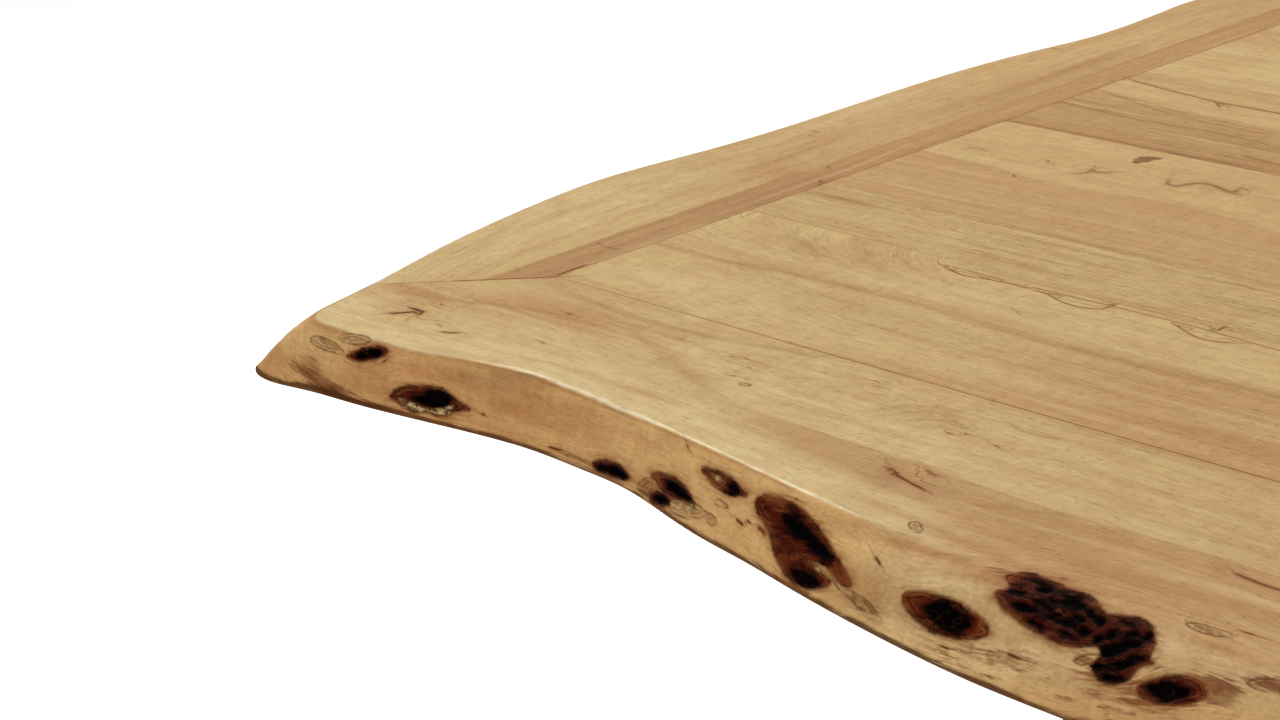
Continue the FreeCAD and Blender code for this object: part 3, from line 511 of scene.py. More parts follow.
def scattered_edge_knots(a, b, v_hi, seed):
    """knots for the parts of the natural edge that the photo doesn't show: the same families"""
    r = np.random.default_rng(seed)
    rims, cores, pales, rings, specks = [], [], [], [], []
    x = a + r.uniform(20, 90)
    i = 0
    while x < b:
        kind = r.choice(["lens", "pair", "ring", "specks", "cluster"], p=[.3, .16, .24, .2, .1])
        v = r.uniform(9, v_hi - 9)
        s = seed * 100 + i
        if kind == "lens":
            L, W, t = r.uniform(9, 24), r.uniform(4.5, 8), r.uniform(-12, 18)
            rims.append(blob(x, v, L, W, t, s, rough=.16))
            cores.append(blob(x + r.uniform(-.15, .15) * L, v + r.uniform(-.1, .1) * W, L * .5, W * .55, t + r.uniform(-8, 8), s + 1))
            if r.random() < .5:
                pales.append(blob(x - .4 * L, v + .55 * W, L * .35, W * .22, t, s + 2))
        elif kind == "pair":
            L, W, t = r.uniform(10, 16), r.uniform(4.5, 7), r.uniform(0, 22)
            rims.append(blob(x, v, L, W, t, s, rough=.18))
            cores.append(blob(x, v, L * .5, W * .5, t, s + 1))
            x2, v2 = x + L * r.uniform(1.2, 1.8), min(v_hi - 5, v + r.uniform(3, 9))
            rims.append(blob(x2, v2, L * .6, W * .6, t, s + 2, rough=.18))
            cores.append(blob(x2, v2, L * .3, W * .3, t, s + 3))
            rings.append(blob(x - L * 1.7, v + 2, 4.5, 2.0, t, s + 4))
        elif kind == "ring":
            L, W, t = r.uniform(5, 12), r.uniform(2.4, 4.4), r.uniform(-12, 12)
            rings.append(blob(x, v, L, W, t, s, rough=.16))
            pales.append(blob(x, v + .2, L * .78, W * .62, t, s + 1, rough=.16))
            if r.random() < .5:
                specks.append((x + L * .2, v, 2.0, 1.0, t))
        elif kind == "specks":
            for q in range(r.integers(2, 6)):
                specks.append((x + r.uniform(-16, 16), v + r.uniform(-7, 7), r.uniform(.9, 3.0), r.uniform(.6, 1.3), r.uniform(-20, 20)))
        else:
            for q in range(4):
                cx, cy = x + q * r.uniform(8, 13), v + r.uniform(-5, 6)
                rims.append(blob(cx, cy, r.uniform(9, 14), r.uniform(6, 9), r.uniform(-20, 30), s + q, rough=.22))
                cores.append(blob(cx + r.uniform(-3, 3), cy, r.uniform(3, 5), r.uniform(2, 3.6), r.uniform(-20, 30), s + 10 + q))
            x += 40
        x += r.uniform(70, 190)
        i += 1
    return rims, cores, pales, rings, specks


# =====================================================================================
# 4. Mesh helpers
# =====================================================================================
def make_mesh(name, verts, faces, smooth=True, attributes=None, sharp_angle=None):
    me = bpy.data.meshes.new(name)
    verts = np.asarray(verts, np.float32)
    loops = np.concatenate([np.asarray(f, np.int32) for f in faces]) if isinstance(faces, list) else faces.reshape(-1).astype(np.int32)
    counts = np.array([len(f) for f in faces], np.int32) if isinstance(faces, list) else np.full(len(faces), faces.shape[1], np.int32)
    me.vertices.add(len(verts))
    me.vertices.foreach_set("co", verts.ravel())
    me.loops.add(len(loops))
    me.loops.foreach_set("vertex_index", loops)
    me.polygons.add(len(counts))
    me.polygons.foreach_set("loop_start", np.concatenate([[0], np.cumsum(counts)[:-1]]).astype(np.int32))
    me.polygons.foreach_set("loop_total", counts)
    me.polygons.foreach_set("use_smooth", np.full(len(counts), bool(smooth)))
    me.update(calc_edges=True)
    for key, val in (attributes or {}).items():
        val = np.asarray(val, np.float32)
        if val.ndim == 1:
            at = me.attributes.new(key, "FLOAT", "POINT")
            at.data.foreach_set("value", val)
        else:
            at = me.attributes.new(key, "FLOAT_VECTOR", "POINT")
            at.data.foreach_set("vector", val.ravel())
    if sharp_angle is not None:
        me.set_sharp_from_angle(angle=math.radians(sharp_angle))
    me.validate()
    ob = bpy.data.objects.new(name, me)
    scene.collection.objects.link(ob)
    return ob


def blank_fields(shape):
    f = {k: np.zeros(shape) for k in ("heart", "heart_on", "streak", "red", "brown", "light", "mark_on", "curl", "painted_rim_shade", "bevel",
                                     "roll", "arris", "stain")}
    for k in ("rim", "core", "pale", "ring", "mark"):
        f[k] = np.full(shape, FAR)
    return f


def field_attributes(f, gx, gy, gz):
    """packs the fields for the shaders; grain coordinates in cm"""
    st = lambda *k: np.stack([f[q].ravel() if isinstance(q, str) else q.ravel() for q in k], -1)
    return {
        "w_heart": st("heart", "heart_on", "streak"),
        "w_tone": st("red", "brown", "light"),
        "w_knot": st("rim", "core", "pale"),
        "w_mark": st("ring", "mark", "mark_on"),
        "w_grain": np.stack([gx.ravel() / 10.0, gy.ravel() / 10.0, gz.ravel() / 10.0], -1),
        "w_edge": st("bevel", "curl", "painted_rim_shade"),
        "w_more": st("roll", "arris", "stain"),
    }


# =====================================================================================
# 5. The four live-edge boards
# =====================================================================================
FILLET = 0.7
SLOPE_H = 32.6            # height of the sloping face, from the arris to the widest line
TIP = (-56.0, -117.5)     # arris of the front left corner, which is drawn in a little


def spaced(a, b, steps):
    """positions from a to b; steps = [(place, spacing)], spacing changes linearly in between"""
    pos, x = [a], a
    xs, hs = [q[0] for q in steps], [q[1] for q in steps]
    while x < b:
        x += float(np.interp(x, xs, hs))
        pos.append(x)
    pos = np.array(pos)
    return a + (pos - a) * (b - a) / (pos[-1] - a)


BOARDS = {
    "front_live_edge_board": ("FL", "FR", 0.0, (0.0, 0.0), (1, 0), FIELD_L, 180.0),
    "right_end_live_edge_board": ("FR", "BR", 0.0, (FIELD_L, 0.0), (0, 1), FIELD_W, 130.0),
    "rear_live_edge_board": ("BR", "BL", 0.0, (FIELD_L, FIELD_W), (-1, 0), FIELD_L, 180.0),
    "left_end_live_edge_board": ("BL", "FL", PERIOD, (0.0, FIELD_W), (0, -1), FIELD_W, 130.0),
}


def edge_board(name, steps, n_top, n_bevel, fields_of):
    c0, c1, wrap, start, direction, length, margin = BOARDS[name]
    u0, u1 = CROSS[c0], CROSS[c1] + wrap
    u0low, u1low = CROSS_LOW[c0], CROSS_LOW[c1] + wrap
    # columns: spaced along the arris
    uu = np.linspace(u0[0], u1[0], 6000)
    pa = edge_xy(uu, np.zeros(uu.shape))
    arc = np.concatenate([[0], np.cumsum(np.linalg.norm(np.diff(pa, axis=0), axis=1))])
    along = (pa[:, 0] - start[0]) * direction[0] + (pa[:, 1] - start[1]) * direction[1]
    pos = spaced(0.0, arc[-1], [(np.interp(p, along, arc), h) for p, h in steps])
    ucol = np.interp(pos, arc, uu)
    frac = (ucol - u0[0]) / (u1[0] - u0[0])
    nc = len(frac)

    def u_at(s):
        a = np.interp(s, S_TAB, u0)
        b = np.interp(s, S_TAB, u1)
        return a + frac[None, :] * (b - a)

    A = edge_xy(ucol, np.zeros(nc))                      # arris points
    c = (A[:, 0] - start[0]) * direction[0] + (A[:, 1] - start[1]) * direction[1]
    ci = c.copy()                                        # inner line position of each column
    lo_m = c < margin
    ci[lo_m] = (c[lo_m] - c[0]) / (margin - c[0]) * margin
    hi_m = c > length - margin
    ci[hi_m] = length - (c[-1] - c[hi_m]) / (c[-1] - (length - margin)) * margin
    S = np.array(start)[None, :] + ci[:, None] * np.array(direction)[None, :]
    inward = (S - A)
    width = np.linalg.norm(inward, axis=1)
    inward = inward / width[:, None]
    # slope length of the profile for each column, to start the slope at FILLET from the arris
    q = outline(ucol)
    dist = np.linalg.norm(q[:, 2:4] - q[:, 0:2], axis=1) + LOWER_OUT
    k = np.clip(q[:, 4], 0, 1)
    sg = np.linspace(0, 1, 220) ** 2
    out = dist[:, None] * fullness(sg[None, :], k[:, None])
    vlen = np.concatenate([np.zeros((nc, 1)), np.cumsum(np.hypot(np.diff(out, axis=1), 30.0 * np.diff(sg)[None, :]), axis=1)], 1)
    s_start = np.array([np.interp(FILLET, vlen[i], sg) for i in range(nc)])
    rows, vrow, srow, tau = [], [], [], []                # each: xyz (nc,3), v (nc), s (nc), place across the top
    # seam face and its small chamfer
    CH = 0.12
    for zz, inset in ((TOP_LOW, 0.0), (TOP_LOW + 10, 0.0), (TOP_LOW + 24, 0.0), (TOP_Z - CH, 0.0)):
        rows.append(np.c_[S, np.full(nc, zz)])
        vrow.append(-width)
        srow.append(np.zeros(nc))
        tau.append(np.zeros(nc))
    for j in range(n_top + 1):
        t = j / n_top
        w = CH + (width - CH - FILLET) * (1.0 - (1.0 - t) ** 1.4)
        rows.append(np.c_[S - inward * w[:, None], np.full(nc, TOP_Z)])
        vrow.append(-(width - w))
        srow.append(np.zeros(nc))
        tau.append(w / width)
    first_top = 4
    p1 = rows[-1]
    pull = 1.0 - 0.05 * np.exp(-((A[:, 0] - TIP[0]) ** 2 + (A[:, 1] - TIP[1]) ** 2) / 30.0 ** 2)

    def slope_xy(s):
        return A + (edge_xy(u_at(s[None, :])[0], s) - A) * pull[:, None]

    ps = slope_xy(s_start)
    p2 = np.c_[ps, TOP_Z - SLOPE_H * s_start]
    pc = np.c_[A, np.full(nc, TOP_Z)]
    for t in (0.25, 0.5, 0.75):
        rows.append((1 - t) ** 2 * p1 + 2 * t * (1 - t) * pc + t * t * p2)
        vrow.append(np.full(nc, -FILLET + 2 * FILLET * t))
        srow.append(s_start * t)
        tau.append(np.ones(nc))
    for j in range(n_bevel + 1):
        s = s_start + (1.0 - s_start) * (j / n_bevel) ** 1.25
        rows.append(np.c_[slope_xy(s), TOP_Z - SLOPE_H * s])
        sf = s * 1.075
        vrow.append(np.array([np.interp(sf[i], sg, vlen[i]) for i in range(nc)]) + np.clip(sf - 1.0, 0, None) * 32.0)
        srow.append(s)
        tau.append(np.ones(nc))
    last_slope = len(rows) - 1
    # lower round down to the underside outline
    ulow = u0low + frac * (u1low - u0low)
    B = outline(ulow)[:, 2:4]
    pw = rows[-1]
    B = pw[:, :2] + (B - pw[:, :2]) * 0.6
    pb = np.c_[B, np.full(nc, TOP_LOW)]
    pcorner = np.c_[pw[:, :2], np.full(nc, TOP_LOW + 0.1)]
    for t in (0.4, 0.72, 1.0):
        rows.append((1 - t) ** 2 * pw + 2 * t * (1 - t) * pcorner + t * t * pb)
        vrow.append(vrow[last_slope] + 2.0 * t)
        srow.append(np.full(nc, 1.0 + 0.12 * t))
        tau.append(np.ones(nc))
    first_under = len(rows)
    Sb = S
    nu = max(5, n_top // 6)
    for j in range(1, nu):
        t = j / nu
        rows.append(np.c_[B + (Sb - B) * t, np.full(nc, TOP_LOW)])
        vrow.append(vrow[last_slope] + 8.0 + np.linalg.norm(Sb - B, axis=1) * t)
        srow.append(np.full(nc, 1.3))
        tau.append(np.full(nc, 1.0 - t))
    P = np.array(rows)                                    # nr, nc, 3
    Vv, Ss, Tt = np.array(vrow), np.array(srow), np.array(tau)
    nr = len(P)
    # mitre ends: a small chamfer on the top
    for end, step in ((0, 1), (nc - 1, -1)):
        P[first_top:last_slope + 1, end, 2] -= CH
    X, Y = P[..., 0].copy(), P[..., 1].copy()
    along = (X - start[0]) * direction[0] + (Y - start[1]) * direction[1]
    info = dict(X=X, Y=Y, V=Vv, S=Ss, T=Tt, along=along, width=np.broadcast_to(width, X.shape), nc=nc, nr=nr,
                first_top=first_top, last_slope=last_slope, first_under=first_under, name=name)
    f, gx, gy, gz, push = fields_of(info)
    # push the slope in or out along its normal
    du = np.gradient(P, axis=1)
    dv = np.gradient(P, axis=0)
    n = np.cross(du, dv)
    n = n / np.maximum(np.linalg.norm(n, axis=-1), 1e-9)[..., None]
    mid = P.mean(axis=(0, 1))
    if np.sum(n[last_slope, :, :2] * (P[last_slope, :, :2] - S)) < 0:
        n = -n
    P = P + n * push[..., None]
    verts = P.reshape(-1, 3).copy()
    verts[:, 0] += FX0
    verts[:, 1] += FY0
    verts /= 1000.0
    lo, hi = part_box(name)                        # the thinned edge stays inside its CAD piece's box
    verts = np.clip(verts, np.array(lo), np.array(hi))
    idx = np.arange(nr * nc).reshape(nr, nc)
    nxt = np.roll(idx, -1, axis=0)
    quads = np.stack([idx[:, :-1], idx[:, 1:], nxt[:, 1:], nxt[:, :-1]], -1).reshape(-1, 4)
    # orientation: outward
    a, b, d = verts[quads[:, 0]], verts[quads[:, 1]], verts[quads[:, 3]]
    fn = np.cross(b - a, d - a)
    centre = verts.mean(0)
    top_q = (first_top + 2) * (nc - 1) + (nc - 1) // 2
    flip = fn[top_q, 2] < 0
    if flip:
        quads = quads[:, ::-1]
    faces = [tuple(qd) for qd in quads]
    cap0, cap1 = list(idx[:, 0]), list(idx[:, -1])
    faces.append(tuple(cap0[::-1]) if not flip else tuple(cap0))
    faces.append(tuple(cap1) if not flip else tuple(cap1[::-1]))
    # orient the caps by the neighbouring quad's edge direction
    ob = make_mesh("wood_" + name, verts, faces, True, field_attributes(f, gx, gy, gz), sharp_angle=38)
    return ob


def knot_push(f, amount=1.3):
    """knots sink: the rim a little, the black heart more, with an uneven floor"""
    rim = ease(-f["rim"], -0.6, 2.4)
    core = ease(-f["core"], -0.6, 2.0)
    return -(0.35 * rim + amount * core)


def front_fields(i):
    X, Y, V, S, T = i["X"], i["Y"], i["V"], i["S"], i["T"]
    f = blank_fields(X.shape)
    under = S > 1.2
    on_slope = (S > 0.001) & ~under
    top = ~on_slope & ~under
    x, y = X, Y
    # --- knots of the edge, in (x, v)
    r2, c2, p2, g2, s2 = scattered_edge_knots(600, 1925, 33, 71)
    rims = [rounded(p) for p in FRONT_RIMS] + r2
    cores = [rounded(p) for p in FRONT_CORES] + [blob(*o, seed=30 + n, rough=.2) for n, o in enumerate(FRONT_CORE_OVALS)] + c2
    pales = [rounded(p) for p in FRONT_PALE] + p2
    rings = [rounded(p) for p in FRONT_RINGS] + g2
    vv = np.where(under, 900.0, V)
    union(f, x, vv, rims, "rim")
    union(f, x, vv, cores, "core")
    union(f, x, vv, pales, "pale")
    nearest_outline(f, x, vv, rings, "ring")
    # --- marks and specks of the top, in plan
    xt, yt = np.where(top, x, -900.0), np.where(top, y, -900.0)
    nearest_outline(f, xt, yt, TOP_RINGS, "ring")
    mark_lines(f, np.where(top | under, x, -900.0), np.where(top | under, y, -900.0), SEAM_MARKS)
    mark_lines(f, xt, yt, TOP_MARKS + as_marks(TOP_SPECKS, 0.75))
    mark_lines(f, x, vv, as_marks(FRONT_SPECKS + s2))
    r = np.random.default_rng(5)
    extra = []
    for q in range(9):
        cx, cy = r.uniform(620, 1850), r.uniform(-105, -12)
        extra.append(([(cx, cy), (cx + 14, cy + r.uniform(-4, 4)), (cx + 30, cy + r.uniform(-5, 5))], 0.9, r.uniform(.3, .8)))
    mark_lines(f, xt, yt, extra)
    # --- heartwood stripe of the top: crisp upper line, soft lower line
    wob = 3.0 * wave(x / 160.0, 3.3, 11) * ease(x, 520, 800)
    s0 = line_at([(60, -24), (85, -33), (110, -43), (130, -52), (150, -61), (170, -69), (185, -74), (200, -77), (240, -78.5), (288, -80),
                  (346, -82), (394, -83), (434, -80.5), (490, -80), (560, -80), (700, -76), (900, -84), (1100, -79), (1300, -72),
                  (1500, -80), (1700, -86), (1900, -78)], x) + wob
    low = line_at([(180, -92), (215, -96), (250, -99), (313, -110), (356, -114), (396, -115), (430, -109), (473, -102), (503, -101), (600, -104),
                   (760, -108), (900, -112), (1050, -100), (1200, -94), (1400, -108), (1600, -104), (1900, -102)], x)
    f["heart"] = s0 - y
    fade = ease(x, 192, 262)
    f["heart_on"] = fade * (0.80 + 0.2 * wave(x / 60.0, y / 9.0, 4)) * ease(y - low, -7, 5) * (1 - on_slope)
    # figure at the left of the board
    f1 = line_at([(-60, -2), (-10, -6), (5, -9), (40, -16), (80, -20.5), (110, -19.5), (150, -13), (200, -3), (230, 3)], x)
    f2 = line_at([(-75, -70), (-65, -66), (-40, -60), (-10, -52), (10, -43), (40, -37), (70, -36), (88, -37), (100, -42)], x)
    f3 = s0
    left = 1 - ease(x, 150, 235)
    f["brown"] += 0.34 * soft(y - f1, 2.6) * ease(x, -20, 30) * (1 - ease(x, 170, 215))
    f["brown"] += 0.16 * soft(y - f1 + 5, 7.0) * (1 - ease(x, 90, 190))
    f["red"] += 0.80 * soft(y - f2 + 4, 15.0) * (1 - ease(x, 60, 112)) * (0.8 + 0.4 * wave(x / 14.0, y / 5.0, 9))
    f["brown"] += 0.34 * soft(y - f2 + 6.5, 3.0) * (1 - ease(x, 60, 100)) * ease(x, -60, -30)
    f["red"] += 0.55 * soft(np.hypot((x - 52) / 46, (y + 40) / 13.0), 1.0) + 0.45 * soft(np.hypot((x + 40) / 34, (y + 64) / 6.0), 1.0)
    f["brown"] += 0.20 * soft(y - f3, 4.5) * ease(x, 78, 100) * (1 - ease(x, 170, 200))
    f["red"] += 0.26 * soft(y - f3 - 3, 7.0) * ease(x, 78, 100) * (1 - ease(x, 170, 200))
    f["red"] += 0.55 * soft(np.hypot((x - 158) / 15, (y + 94) / 3.2), 1.0)
    f["red"] += 0.28 * soft(np.hypot((x - 236) / 30, (y + 92) / 6.0), 1.0)
    f["brown"] += 0.30 * soft(np.hypot((x - 315) / 22, (y + 99) / 9.0), 1.0)
    f["brown"] += 0.22 * soft(np.hypot((x - 385) / 34, (y + 103) / 8.0), 1.0)
    f["red"] += 0.34 * soft(np.hypot((x - 384) / 9, (y + 130) / 4.0), 1.0)
    f["red"] += 0.25 * soft(np.hypot((x - 352) / 20, (y + 119) / 3.0), 1.0)
    f["red"] += 0.30 * soft(np.hypot((x - 440) / 40, (y + 26) / 4.0), 1.0)
    f["brown"] += 0.16 * soft(y + 3.0, 2.5) * ease(x, 200, 260)
    f["brown"] += 0.13 * soft(np.hypot((x - 172) / 17, (y + 38) / 11.0), 1.0) + 0.12 * soft(np.hypot((x - 284) / 28, (y + 33) / 11.0), 1.0)
    f["red"] += 0.55 * soft(y - line_at([(300, -112), (380, -119), (440, -118), (520, -112), (640, -116)], x), 4.5) * ease(x, 330, 370) * (1 - ease(x, 560, 640))
    f["light"] += 0.60 * soft(y - line_at([(300, -103), (360, -108), (430, -106), (520, -104), (640, -108)], x), 2.6) * ease(x, 320, 360) * (1 - ease(x, 560, 640))
    f["red"] += 0.28 * soft(np.hypot((x - 450) / 60, (y + 138) / 8.0), 1.0) * top
    band = ease(-y, 105, 113) * ease(x, 335, 400) * (1 - ease(x, 640, 760)) * (0.75 + 0.35 * wave(x / 34.0, y / 5.0, 23))
    f["red"] += 0.85 * band * (1 - ease(V, 8, 18)) * (1 - 0.90 * ease(x, 425, 490))
    f["red"] += 0.60 * soft(y - line_at([(280, -121), (330, -126), (370, -131), (410, -138), (450, -141)], x), 3.5) * ease(x, 285, 330) * (1 - ease(x, 420, 460))
    f["brown"] += 0.22 * band * soft(y + 122, 9.0)
    # light straw wood along the arris and inside the V
    f["light"] += 0.55 * ease(T, 0.62, 0.9) * (1 - ease(x, 300, 420) * 0.75) * (1 - ease(-V, 40, 60))
    f["light"] += 0.30 * ease(x, 110, 150) * ease(s0 - y, -60, -8) * (1 - ease(s0 - y, -8, 0)) * (1 - ease(x, 330, 480))
    f["light"] += 0.25 * soft(np.hypot((x - 60) / 70, (y + 72) / 20.0), 1.0)
    f["red"] += 0.30 * ease(waves(x / 240.0, y / 26.0, 21, 2), 0.0, 0.6) * ease(x, 280, 400) * top
    f["red"] += 0.34 * ease(-V, -30, -6) * (1 - ease(-V, 8, 26)) * ease(x, 400, 470) * (1 - ease(x, 560, 700)) * (V > -40)
    # --- slope: orange-brown, lighter low down in the middle, grain by v
    sl = on_slope.astype(float)
    crest = line_at([(-100, -0.4), (60, -0.8), (80, -1.8), (95, -1.4), (110, 0.0), (140, 0.8), (170, 0.9), (185, 0.1), (205, -1.0),
                     (235, -1.6), (280, -1.6), (310, -1.2), (360, 2.5), (420, 3.0), (620, 2.0), (760, 0.0), (2000, 0.0)], x)
    f["bevel"] = np.where(under, -1.0, np.clip((V - crest - 0.75) / 3.0 + 0.5, 0, 1))
    roll = ease(x, 318, 390) * (1 - ease(x, 660, 760))           # the soft roll-over keeps the colour of the top
    f["roll"] = np.where(on_slope, roll * (0.80 - 0.55 * ease(V, 24, 54)), 0.0)
    # painted highlight along the arris, put into the surface colour
    arris_highlight_on = ease(x, 58, 90) * (1 - ease(x, 292, 340)) + 0.30 * (1 - ease(x, 20, 60)) * ease(x, -45, -10) + 0.5 * ease(x, 800, 900)
    f["arris"] = np.where(under, 0.0, arris_highlight_on * (1.25 + 0.6 * wave(x / 7.0, 2.2, 91)) * soft((V - crest) / (0.95 + 0.9 * soft((x - 88) / 18, 1.0)), 1.0))
    f["brown"] += 0.75 * arris_highlight_on * soft((V - crest - 2.1) / 0.9, 1.0) * (0.5 + 0.5 * wave(x / 23.0, 4.4, 92)) * (V > -3) * ~under
    for cx, cv, a, b, q in ((-38, 10.2, 6, 1.5, .8), (-43, 26, 8, 5, .45), (-27, 36, 26, 5.4, 1.1), (-42, 34, 16, 4.8, 1.0), (0, 35, 24, 2.4, .8), (136, 31.5, 20, 1.8, .75), (190, 30, 9, 5, .5),
                            (350, 35, 15, 3.5, .45), (404, 6, 8, 4, .6), (432, 44, 26, 5.0, .50), (486, 49, 15, 3.5, .6), (512.5, 36.6, 11.5, 6.0, 1.5), (503, 40, 9, 5.6, 1.2), (483, 45, 7, 3.2, .62),
                            (469, 42, 13, 6.0, .62), (486, 34, 6, 3.0, .5), (531, 26.5, 10, 4.2, 1.0), (402, 45, 22, 4, .35),
                            (458, 38, 6, 5, .5), (476, 50, 18, 3.0, .5), (276, 14, 9, 6, .35), (40, 33, 26, 2.0, .5), (275, 22.5, 12, 3, .25),
                            (118, 18, 44, 9, .03), (60, 8, 10, 3, .15), (514, 33, 9, 3, .35), (470, 20, 18, 14, .2), (520, 29, 16, 4, .3)):
        f["stain"] = np.maximum(f["stain"], q * soft(np.hypot((x - cx) / a, (V - cv) / b), 1.0) * on_slope)
    f["stain"] = np.maximum(f["stain"], 0.60 * ease(waves(x / 12.0, V / 3.0, 97, 3), -0.15, 0.55) * ease(V, 33, 43) * ease(x, 372, 410) * on_slope)
    f["stain"] = np.maximum(f["stain"], 0.5 * ease(x, 600, 700) * ease(waves(x / 40.0, V / 8.0, 95, 2), 0.25, 0.7) * on_slope)
    f["light"] += sl * (0.95 * soft(np.hypot((x - 368) / 50, (V - 14) / 7.0), 1.0) + 0.95 * soft(np.hypot((x - 420) / 60, (V - 44) / 9.0), 1.0)
                        + 0.5 * soft(np.hypot((x - 500) / 40, (V - 24) / 9.0), 1.0) + 0.35 * soft(np.hypot((x - 330) / 25, (V - 33) / 5.0), 1.0)
                        + 0.5 * soft(np.hypot((x - 68) / 17, (V - 5) / 3.0), 1.0) + 0.45 * soft(np.hypot((x + 24) / 22, (V - 9) / 8.0), 1.0)
                        + 0.3 * soft(np.hypot((x - 45) / 14, (V - 9) / 5.0), 1.0) + 0.3 * soft(np.hypot((x + 38) / 14, (V - 20) / 6.0), 1.0)
                        + 0.30 * (1 - ease(x, -50, -6)) * (1 - ease(V, 24, 34)))
    f["red"] += sl * (0.45 * (1 - ease(x, 60, 200)) * (0.30 + 0.70 * ease(x, -52, -4)) + 0.36 * soft(np.hypot((x - 390) / 40, (V - 13) / 8.0), 1.0)
                      + 0.34 * soft((V - 2.0) / 4.0, 1.0) * (1 - ease(x, -14, 22)) + 0.22 * soft(np.hypot((x - 432) / 46, (V - 40) / 10.0), 1.0)
                      + 0.50 * soft(np.hypot((x - 508) / 36, (V - 23) / 9.0), 1.0) + 0.45 * ease(waves(x / 46.0, V / 9.0, 31, 2), -0.1, 0.7) * (1 - roll) + 0.4 * soft(np.hypot((x - 372) / 40, (V - 7) / 2.0), 1.0)
                      + 0.4 * soft(np.hypot((x - 402) / 14, (V - 15) / 5.0), 1.0) + 0.25 * soft(np.hypot((x - 500) / 30, (V - 18) / 3.0), 1.0))
    f["brown"] += sl * (0.16 * soft(np.hypot((x - 508) / 30, (V - 27) / 6.0), 1.0) + 0.14 * (1 - ease(x, -40, -5))
                        + 0.40 * ease(waves(x / 70.0, V / 16.0, 41, 2), 0.0, 0.8) * (1 - roll) + 0.04 * soft(np.hypot((x - 128) / 58, (V - 16) / 8.0), 1.0)
                        + 0.35 * soft(np.hypot((x + 43) / 8, (V - 27) / 6.0), 1.0) + 0.35 * soft(np.hypot((x - 352) / 12, (V - 28) / 9.0), 1.0)
                        + 0.45 * soft(np.hypot((x - 190) / 12, (V - 29) / 5.0), 1.0) + 0.5 * soft(np.hypot((x - 205) / 10, (V - 28) / 4.0), 1.0)
                        + 0.4 * soft(np.hypot((x - 468) / 18, (V - 46) / 4.0), 1.0) + 0.4 * soft(np.hypot((x - 345) / 18, (V - 34) / 4.0), 1.0))
    # painted shade on the lower round, where the edge turns under
    f["painted_rim_shade"] = np.where(under, 0.0, ease(S, 0.90, 1.01) * (0.92 + 0.4 * waves(x / 16.0, 1.7, 51, 2)))
    f["painted_rim_shade"] += on_slope * ease(S, 0.80, 1.0) * (1 - ease(x, 0, 34)) * ease(x, -58, -44) * (0.50 + 0.5 * wave(x / 13.0, V / 7.0, 52))
    f["streak"] = np.where(top, 0.22 + 0.2 * ease(waves(x / 300.0, y / 30.0, 61, 2), 0, 0.6), 0.20)
    f["curl"] = np.where(top, 0.35 + 0.65 * soft(np.hypot((x - 230) / 90, (y + 34) / 26.0), 1.0), 0.8)
    # --- grain coordinates
    w = ease(T, 0.45, 1.0) * ease(x, -10, 90)
    gy = np.where(top, y * (1 - w) + (-126.0 * T) * w, -126.0 - np.clip(V, 0, None))
    gy = np.where(under, y, gy)
    cath = 11.0 * soft((x - 95) / 60, 1.0) * soft((y + 30) / 22, 1.0)
    gy = gy + np.where(top, cath * np.sign(y + 30) * 0.4, 0)
    gy = gy + 2.4 * wave(x / 130.0, y / 60.0, 71) + np.where(on_slope, 1.8 * wave(x / 36.0, V / 18.0, 72), 0)
    gy = gy - _flow(rims, x, vv)
    gx, gz = x + 4 * wave(x / 50.0, gy / 12.0, 73), i["S"] * 12.0
    push = np.where(on_slope, knot_push(f) + 0.45 * waves(x / 42.0, V / 15.0, 81, 2) * ease(V, 1, 6) * (1 - ease(S, 0.9, 1.0))
                    + 0.16 * waves(x / 11.0, V / 5.0, 82, 2) * ease(V, 1, 6) * (1 - ease(S, 0.9, 1.0)), 0.0)
    push = np.where(on_slope | (top & (T > 0.5)), push + np.where(top, knot_push(f, 0.9), 0.0), push)
    push = push - 0.5 * np.where(on_slope & (np.abs(f["ring"]) < 4), np.exp(-(f["ring"] / 0.9) ** 2), 0.0)
    push = np.minimum(push, 0.5)
    return f, gx, gy, gz, push


def _flow(polys, x, y):
    """how far the grain lines shift so that they run round the knots"""
    out = np.zeros(x.shape)
    for p in polys:
        c = (p.min(0) + p.max(0)) / 2
        h = (p.max(0) - p.min(0)) / 2
        if h[0] < 3.5:
            continue
        m = (np.abs(x - c[0]) < h[0] * 3.6) & (np.abs(y - c[1]) < h[1] * 5.0)
        if not m.any():
            continue
        dx, dy = (x[m] - c[0]) / (h[0] * 1.3), (y[m] - c[1]) / (h[1] * 1.55)
        out[m] += (y[m] - c[1]) * 0.82 * np.exp(-(dx * dx + dy * dy) * 0.85) * -1.0
    return out


